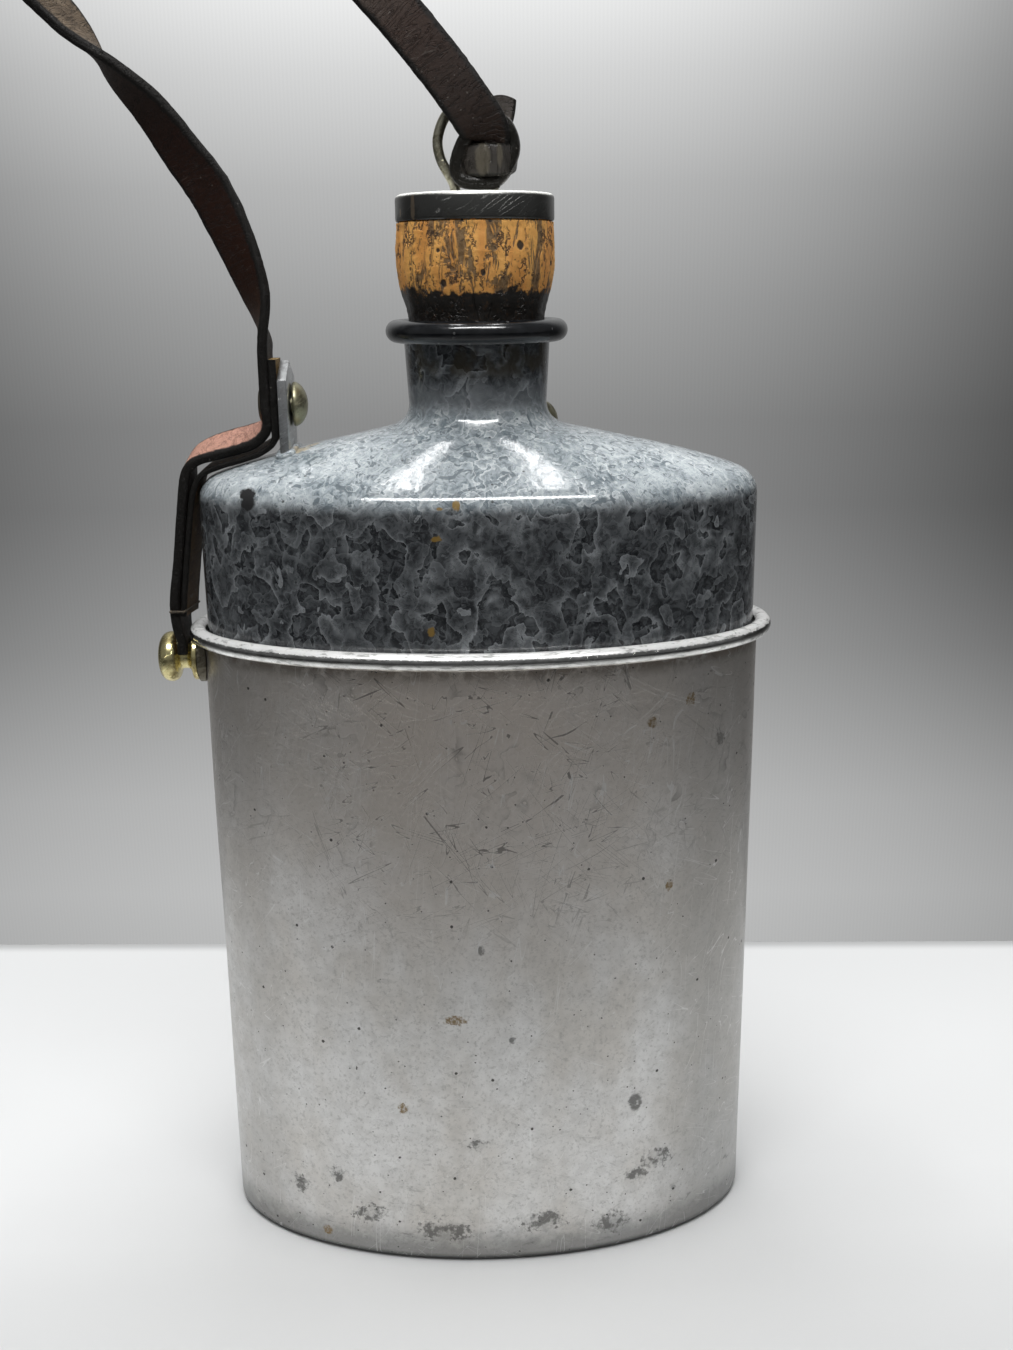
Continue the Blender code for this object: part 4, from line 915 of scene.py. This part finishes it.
def build_eye():
    left = [(-9.4, 0, 203.55), (-6.0, 0, 203.55), (-4.65, 0, 203.95), (-4.2, 0, 205.15), (-4.2, 0, 215),
            (-4.2, 0, 227), (-4.2, 0, 240), (-4.2, 0, 250)]
    loop = [(-4.2, 0, 251.9), (-4.7, 0, 254.3), (-7.4, 0, 259.3), (-7.75, 0, 264.0), (-5.2, 0, 268.8),
            (-0.4, 0, 269.9), (3.7, 0, 268.2), (5.6, 0, 264.0), (5.6, 0, 259.3), (4.5, 0, 254.3),
            (4.2, 0, 251.9)]
    right = [(-x, y, z) for x, y, z in reversed(left)]
    eye = pipe("wire_eye", even_curve(left + loop + right, 7), 1.15, EYE_METAL, "stopper")
    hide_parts("stopper_eye")


# ---------------------------------------------------------------- lug and rivets

LUG_BACK_X, LUG_THICK = -45.0, 2.2
RIVET_Z = 206.4


def shoulder_height(x, y):
    """The height of the shoulder's outside above a point of the plan."""
    height = SHOULDER_Z
    for wide, deep, level in shoulder_rings(8):
        if (x / wide) ** 2 + (y / deep) ** 2 > 1:
            break
        height = level
    return height


def build_foot_fillets():
    """Enamel drawn up round the lug where it leaves the shoulder."""
    plan = [(-45.4, -4), (-45.5, 0), (-45.4, 4), (-45.2, 7.6), (-43.9, 8.5), (-42.6, 7.6), (-42.4, 4),
            (-42.3, 0), (-42.4, -4), (-42.6, -7.6), (-43.9, -8.5), (-45.2, -7.6), (-45.4, -4)]
    outline = [(x, y, shoulder_height(x, y) + 0.25) for x, y in plan]
    fillet = pipe("lug_foot_enamel", even_curve(outline, 6), 0.95, MOTTLED_ENAMEL, "bottle", 4)


def build_lug():
    bm = bmesh.new()
    corners = [(-8.0, 186.0), (8.0, 186.0), (8.0, 212.3), (0.0, 216.3), (-8.0, 212.3)]
    made = bmesh.ops.create_circle(bm, cap_ends=True, segments=5, radius=0.008)
    for vert, (y, z) in zip(made["verts"], corners):
        vert.co = mm(LUG_BACK_X, y, z)
    grown = bmesh.ops.extrude_face_region(bm, geom=bm.faces[:])["geom"]
    front = [item for item in grown if isinstance(item, bmesh.types.BMVert)]
    bmesh.ops.translate(bm, verts=front, vec=mm(LUG_THICK, 0, 0))
    bmesh.ops.recalc_face_normals(bm, faces=bm.faces[:])
    bmesh.ops.bevel(bm, geom=bm.edges[:], offset=0.00045, segments=2, profile=0.5, affect="EDGES",
                    material=-1)
    plate = settle("lug_plate", bm, LUG_METAL, "bottle", 25.0)
    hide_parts("strap_lug")

    tilt = Matrix.Rotation(math.radians(4), 4, "Z")
    dome = even_curve([(0.0, 3.5), (2.2, 3.15), (4.0, 2.2), (4.85, 1.1), (5.0, 0.4), (4.6, 0.0)], 5)
    rivet = turned("domed_rivet", dome + [(1.75, 0.0), (1.75, -7.3), (1.2, -7.6), (0.0, -7.6)],
                   RIVET_BRASS, "bottle", (-42.5, 0, RIVET_Z), "+X", tilt=tilt, steps=64)
    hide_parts("lug_rivet")
    burr = turned("burr_washer", [(4.0, 0.0), (3.8, 0.35), (3.3, 0.55), (2.2, 0.6), (2.05, 0.45),
                                  (2.05, 0.0)], WASHER_METAL, "bottle", (-49.5, 0, RIVET_Z), "-X", closed=True, steps=64)
    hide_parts("rivet_burr")
    boss = even_curve([(0.0, 205.4), (2.8, 205.1), (4.8, 204.0), (6.0, 202.2), (6.4, 200.6)], 5)
    button = turned("rear_boss", boss + [(6.4, 195.0), (0.0, 195.0)], RIVET_BRASS, "bottle",
                    (13.2, 17.6, 0.0), steps=64)
    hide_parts("rear_button")
    build_foot_fillets()


# ---------------------------------------------------------------- leather

def framed_route(stops, axis):
    """Points along a route with their length, width way and face way; a stop's fourth
    value is its twist in degrees."""
    fine = even_curve(stops, 10)
    points = [Vector(stop[:3]) for stop in fine]
    frames, run = [], 0.0
    for index, point in enumerate(points):
        before, after = points[max(index - 1, 0)], points[min(index + 1, len(points) - 1)]
        ahead = (after - before).normalized()
        if index:
            run += (point - points[index - 1]).length
        twist = math.radians(fine[index][3]) if len(fine[index]) > 3 else 0.0
        wide = (axis - ahead * axis.dot(ahead)).normalized()
        wide = Matrix.Rotation(twist, 3, ahead) @ wide
        frames.append((run, point, wide, ahead.cross(wide)))
    return frames


def place_on(frames, x, y, z):
    """The point at x along, y across and z through a framed route."""
    low, high = 0, len(frames) - 1
    while high - low > 1:
        middle = (low + high) // 2
        if frames[middle][0] <= x:
            low = middle
        else:
            high = middle
    first, second = frames[low], frames[high]
    share = (x - first[0]) / max(second[0] - first[0], 1e-9)
    point, wide, face = [first[part].lerp(second[part], share) for part in (1, 2, 3)]
    return point + wide.normalized() * y + face.normalized() * z


def runs_along(edge, axis_index):
    way = edge.verts[0].co - edge.verts[1].co
    return abs(way[axis_index]) > 0.9 * way.length


STRIP_PITCH, STRIP_CUTS = 0.8, 10


def leather_strip(name, stops, width, thickness, material, axis=ACROSS, wear=None, begin=0.0,
                  notch=0.0, round_end=0.0):
    """A strip cut from a flat blank, roughened while flat, then bent along its route.
    It records its flat place as lay, and how near its edges a point is as rim."""
    frames = framed_route(stops, axis)
    length = frames[-1][0]
    bm = bmesh.new()
    bmesh.ops.create_cube(bm, size=1.0)
    bmesh.ops.scale(bm, vec=(length, width, thickness), verts=bm.verts[:])
    bmesh.ops.translate(bm, vec=(length / 2, 0, 0), verts=bm.verts[:])
    corners = [edge for edge in bm.edges if runs_along(edge, 0)]
    bmesh.ops.bevel(bm, geom=corners, offset=0.36 * thickness, segments=3, profile=0.5,
                    affect="EDGES", material=-1)
    bmesh.ops.subdivide_edges(bm, edges=[edge for edge in bm.edges if runs_along(edge, 0)],
                              cuts=max(2, int(length / STRIP_PITCH)), use_grid_fill=True)
    broad = [edge for edge in bm.edges if runs_along(edge, 1) and edge.calc_length() > 0.5 * width]
    bmesh.ops.subdivide_edges(bm, edges=broad, cuts=STRIP_CUTS, use_grid_fill=True)
    lay = bm.verts.layers.float_vector.new("lay")
    rim = bm.verts.layers.float.new("rim")
    for vert in bm.verts:
        x, y, z = vert.co
        vert[lay] = (x + begin, y, z)
        vert[rim] = abs(y) / (width / 2)
        if notch and length - x < 3 * notch:
            depth = math.sqrt(max(0.0, notch * notch - y * y))
            x -= depth * (1 - (length - x) / (3 * notch))
        if round_end and length - x < round_end:
            x -= 0.35 * round_end * vert[rim] ** 2 * (1 - (length - x) / round_end)
        y, z = wear(x + begin, y, z, width, thickness)
        vert.co = place_on(frames, x, y, z) / 1000
    return settle(name, bm, material, None, 50.0)


def roughness_at(x, y, z):
    return noise.noise(Vector((x, y, z)))


def strap_wear(x, y, z, width, thickness):
    """Waves, a slightly cupped section, thickness changes and nicked edges."""
    edge = abs(y) / (width / 2)
    nick = 0.20 * roughness_at(x * 0.11, 0.3, 1.0)
    nick += 0.12 * roughness_at(x * 0.9, math.copysign(5.0, y), z * 0.6)
    nick += 0.20 * roughness_at(x * 0.28, math.copysign(3.0, y), z * 0.3)
    crease = 0.06 * roughness_at(x * 1.3, y * 0.35, math.copysign(2.0, z))
    y += math.copysign(nick * edge ** 3, y)
    z += math.copysign(crease, z) - 0.04 * (1 - edge * edge) * thickness
    return y, z


def lining_wear(x, y, z, width, thickness):
    """The lining is thicker where it is clamped at the lug."""
    y, z = strap_wear(x, y, z, width, thickness)
    return y, z * (1.0 + 0.35 * min(1.0, max(0.0, (20.0 - x) / 5.0)))


def knot_wear(x, y, z, width, thickness):
    """Softer edges and a cupped section, as on leather pulled tight."""
    edge = abs(y) / (width / 2)
    nick = 0.14 * roughness_at(x * 0.5, math.copysign(4.0, y), 0.0)
    y += math.copysign(nick * edge ** 2, y)
    crease = 0.08 * roughness_at(x * 0.7, y * 0.5, math.copysign(2.0, z))
    z += math.copysign(crease, z)
    return y, z - 0.22 * edge * edge * thickness


def in_plane(*stops):
    """Route stops in the bottle's middle plane, of x, z and twist."""
    return [(x, 0, z, twist) for x, z, twist in stops]


LOOP_ROUTE = [
    (0.8, -2.3, 262.4, -90), (2.3, -4.9, 262.4, -90), (1.9, -6.3, 265.2, -90), (-1.6, -6.2, 270.4, -90),
    (-8.4, -4.7, 279.4, -90), (-18.5, -3.2, 291.2, -90), (-31, -2, 304, -86), (-45, -1, 318, -78),
] + in_plane(
    (-62, 330.5, -58), (-80, 335, -18), (-95, 329, 22), (-102.3, 315.5, 36), (-98.0, 301.5, 38),
    (-86.0, 287.3, 26), (-77.9, 277.9, -20), (-70.1, 269.7, -44), (-64.3, 261.5, -58), (-57.3, 251, -66),
    (-50.2, 233, -42), (-48.25, 221.9, -4), (-48.25, 217, 0), (-48.25, RIVET_Z, 0))
FALL_ROUTE = in_plane(
    (-48.25, RIVET_Z, 0), (-48.3, 203.6, -4), (-49.3, 200.9, -12), (-52.2, 199.1, -19),
    (-56.5, 197.9, -21), (-61.5, 196.5, -18), (-64.7, 195.1, -12), (-66.7, 193.0, -5),
    (-67.6, 189.6, 2), (-68.7, 180, 7), (-69.9, 170.5, 8.5), (-71.4, 161.5, 8),
    (-71.6, 155.5, 4), (-71.2, 152, 0), (-71.1, 148.6, 0))
LINING_ROUTE = in_plane(
    (-46.3, 216.6, 0), (-46.3, RIVET_Z, 0), (-46.3, 201.2, 0), (-47, 198.3, -3),
    (-50, 196.2, -6), (-54.4, 194.7, -6), (-58.6, 193.5, -5), (-62.4, 192.0, -3),
    (-64.4, 190.3, 0), (-65.5, 187.5, 3), (-66.2, 184, 5), (-67.3, 175.5, 8),
    (-68.9, 164, 8), (-69.6, 157.8, 8))
HITCH_ROUTE = [(-2.2, 3.4, 258.0), (-2.6, -1.2, 258.0), (-1.2, -5.0, 258.2), (2.6, -6.7, 258.3),
               (6.4, -5.6, 258.5), (8.4, -1.8, 259.4), (7.8, 2.4, 260.6), (4.4, 4.6, 261.0),
               (1.4, 4.8, 260.6)]
BIGHT_ROUTE = [(0.6, -4.2, 264.6), (-1.6, -4.6, 262.6), (-3.1, -4.4, 259.6), (-3.7, -4.0, 256.8),
               (-3.0, -4.0, 254.9), (-1.0, -4.2, 254.2), (2.2, -4.2, 254.1), (5.2, -4.0, 254.3)]
LOBE_ROUTE = [(4.6, -2.6, 267.2), (7.0, -2.8, 266.4), (8.7, -2.8, 263.4), (9.0, -2.9, 260.4),
              (7.9, -3.2, 257.4), (6.2, -3.4, 254.9), (4.4, -3.4, 253.6)]
TIP_ROUTE = [(-0.4, -2.8, 265.4), (1.6, 0.6, 264.9), (3.8, 3.4, 265.2), (5.4, 4.8, 267.0),
             (6.2, 5.3, 269.6), (6.5, 5.4, 272.6)]
STRAP_WIDE, STRAP_THICK = 10.5, 2.3
LINING_WIDE, LINING_THICK = 9.8, 1.3


def build_leather():
    loop = leather_strip("strap_loop", LOOP_ROUTE, STRAP_WIDE, STRAP_THICK, STRAP_LEATHER, wear=strap_wear)
    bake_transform(loop)
    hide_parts("carry_strap")
    loop_length = framed_route(LOOP_ROUTE, ACROSS)[-1][0]
    fall = leather_strip("strap_fall", FALL_ROUTE, STRAP_WIDE, STRAP_THICK, STRAP_LEATHER, wear=strap_wear,
                         begin=loop_length, notch=3.3)
    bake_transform(fall)
    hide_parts("tail_strap")
    lining = leather_strip("lining_strip", LINING_ROUTE, LINING_WIDE, LINING_THICK, LINING_LEATHER,
                           wear=lining_wear)
    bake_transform(lining)
    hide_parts("strap_lining", "tail_lining")
    turn = leather_strip("knot_turn", HITCH_ROUTE, 7.0, STRAP_THICK, KNOT_LEATHER, UP, knot_wear)
    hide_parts("hitch_turn")
    bight = leather_strip("knot_bight", BIGHT_ROUTE, 4.8, 2.9, KNOT_LEATHER, wear=knot_wear)
    lobe = leather_strip("knot_lobe", LOBE_ROUTE, 5.0, 2.2, KNOT_LEATHER, wear=knot_wear)
    tip = leather_strip("knot_tip", TIP_ROUTE, 6.4, STRAP_THICK, KNOT_LEATHER, SIDEWAYS, knot_wear,
                        round_end=2.6)
    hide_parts("strap_tip")
    for piece in (turn, bight, lobe, tip):
        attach(piece, "stopper")


def build_stitch():
    level, reach, bend = 159.2, 5.75, 0.6
    near, far = (-72.9, -69.6), (-71.8, -68.2)
    plan = [(far[1], reach - bend), (far[1] - bend, reach), (far[0] + bend, reach), (far[0], reach - bend),
            (near[0], bend - reach), (near[0] + bend, -reach), (near[1] - bend, -reach),
            (near[1], bend - reach), (far[1], reach - bend)]
    loop = even_curve([(x, y, level) for x, y in plan], 5)
    stitch = pipe("thread_stitch", loop, 0.28, THREAD, "tail", 3)
    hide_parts("tail_stitch")


# ---------------------------------------------------------------- stage, light and camera

WALL_Y, WALL_LEAN = 138.5, 0.0419
# Greys by share of 500 mm before the bottle, with painted shade: the cup's soft shadow in front of it and a
# darkening further out; and by share of 400 mm up the wall.
TABLE_PAINTED_SHADE = ((0.0, 0.80), (0.05, 0.76), (0.085, 0.70), (0.125, 0.665), (0.18, 0.62), (0.27, 0.50),
               (0.36, 0.31), (0.46, 0.25), (0.74, 0.20), (1.0, 0.16))
WALL_TONES = ((0.0, 0.49), (0.05, 0.52), (0.14, 0.48), (0.275, 0.335), (0.40, 0.25), (0.47, 0.26),
              (0.565, 0.36), (0.655, 0.48), (0.74, 0.68), (0.80, 0.87), (1.0, 1.0))


def grey_ramp(value, stops):
    """Even grey tones, a little cooler than white."""
    return ramped(value, [(at, (0.992 * tone, tone, tone)) for at, tone in stops])


def flat_sheet(name, half_size, matrix, material):
    bm = bmesh.new()
    bmesh.ops.create_grid(bm, x_segments=1, y_segments=1, size=half_size, matrix=matrix)
    mesh = bpy.data.meshes.new(name)
    bm.to_mesh(mesh)
    bm.free()
    mesh.materials.append(material)
    return link(name, mesh)


def make_table_paint():
    """A pale table with painted shade: the cup's shadow in front, darker far in front, and in the corner
    below the wall.
    """
    material, place = new_finish("pale_table", Specular_IOR_Level=0.1)
    x, y, _ = split(place)
    to_wall = WALL_Y - (y + x * WALL_LEAN)
    # painted shade in the corner where the table meets the wall, fading out to the sides
    corner = abs(to_wall).fade(0.0, 7.0, 0.62, 1.0) * abs(x).fade(190.0, 420.0, 1.0, 0.25)
    return finish_with(material, tinted(grey_ramp(y * -1.0 / 500.0, TABLE_PAINTED_SHADE), corner), 0.75)


def make_wall_glow():
    """A ribbed grey wall that shines by itself, brightest behind the bottle, and is clear
    from behind."""
    material, place = new_finish("grey_backdrop")
    tree = material.node_tree
    tree.nodes.remove(tree.nodes["Principled BSDF"])
    x, _, z = split(place)
    aside = x + 6.0
    half_width = z.fade(0.0, 170.0, 330.0, 196.0) * aside.fade(0.0, 60.0, 1.0, 0.94)
    falloff = ((abs(aside) / half_width) ** 2.8 * -1.0).math("EXPONENT")
    ribs = (x * 5.15).math("SINE")
    glow = put(tree, "ShaderNodeEmission", {
        "Color": grey_ramp(z / 400.0, WALL_TONES), "Strength": (falloff | 0.16) * (ribs * 0.014 + 1.0)})
    both = put(tree, "ShaderNodeMixShader", {
        0: out(put(tree, "ShaderNodeNewGeometry"), "Backfacing"), 1: out(glow),
        2: out(put(tree, "ShaderNodeBsdfTransparent"))})
    feed(tree.nodes["Material Output"].inputs["Surface"], out(both))
    return material


def build_stage():
    table = flat_sheet("table_top", 3.0, Matrix.Identity(4), make_table_paint())
    upright = (Matrix.Translation(mm(0, WALL_Y, 2000)) @ Matrix.Rotation(-math.atan(WALL_LEAN), 4, "Z")
               @ Matrix.Rotation(math.pi / 2, 4, "X"))
    wall = flat_sheet("backdrop", 2.0, upright, make_wall_glow())
    wall.visible_shadow = False
    wall.visible_diffuse = False


def add_lamp(name, place, aim, power, width, depth, **visible):
    """A lamp of a width and depth in metres at a place, aimed at a point."""
    lamp = bpy.data.lights.new(name, "AREA")
    lamp.shape = "RECTANGLE"
    lamp.size, lamp.size_y, lamp.energy = width, depth, power
    holder = link(name, lamp)
    holder.location = place
    holder.rotation_euler = (Vector(aim) - Vector(place)).to_track_quat("-Z", "Y").to_euler()
    for rays, shown in visible.items():
        setattr(holder, "visible_" + rays, shown)


def light_scene():
    world = bpy.data.worlds.new("soft_room")
    bpy.context.scene.world = world
    world.use_nodes = True
    room = world.node_tree.nodes["Background"].inputs
    feed(room["Color"], (0.62, 0.63, 0.64))
    feed(room["Strength"], 0.32)
    add_lamp("overhead_softbox", (-0.04, 0.03, 0.75), (0, 0, 0.1), 4.3, 0.50, 0.45, glossy=False)
    for x in (-0.115, 0.115):
        add_lamp("strip_lamp", (x, 0.02, 0.75), (x, 0.02, 0), 0.26, 0.035, 0.10)
    front = (0.0, -0.33, 0.72), (0, 0, 0.19)
    add_lamp("front_strip_lamp", *front, 5.0, 0.55, 0.07, diffuse=False)
    add_lamp("front_fill_lamp", *front, 1.9, 0.55, 0.07, glossy=False)


def set_camera():
    lens = bpy.data.cameras.new("camera")
    lens.lens = 37.45
    lens.sensor_width = 36.0
    lens.clip_start = 0.01
    camera = link("camera", lens)
    camera.matrix_world = (
        Matrix.Translation(mm(-2.27, -328.79, 233.76))
        @ Matrix.Rotation(math.radians(-1.42), 4, "Z")
        @ Matrix.Rotation(math.radians(74.208), 4, "X")
        @ Matrix.Rotation(math.radians(-0.655), 4, "Z"))
    bpy.context.scene.camera = camera


def repaint(node, material):
    """Give a CAD node that stays a finish of its own."""
    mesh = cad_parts[node].data
    for index in range(len(mesh.materials)):
        mesh.materials[index] = material
    if not mesh.materials:
        mesh.materials.append(material)


set_camera()
build_cup()
build_stud()
build_bottle()
build_lip()
build_stopper()
build_eye()
build_lug()
build_leather()
build_stitch()
repaint("rim_wire", WIRE_STEEL)
repaint("stud_washer", WASHER_METAL)
repaint("bottle_base", MOTTLED_ENAMEL)
repaint("eye_washer", WASHER_METAL)
build_stage()
light_scene()
bpy.context.scene.view_settings.view_transform = "Standard"
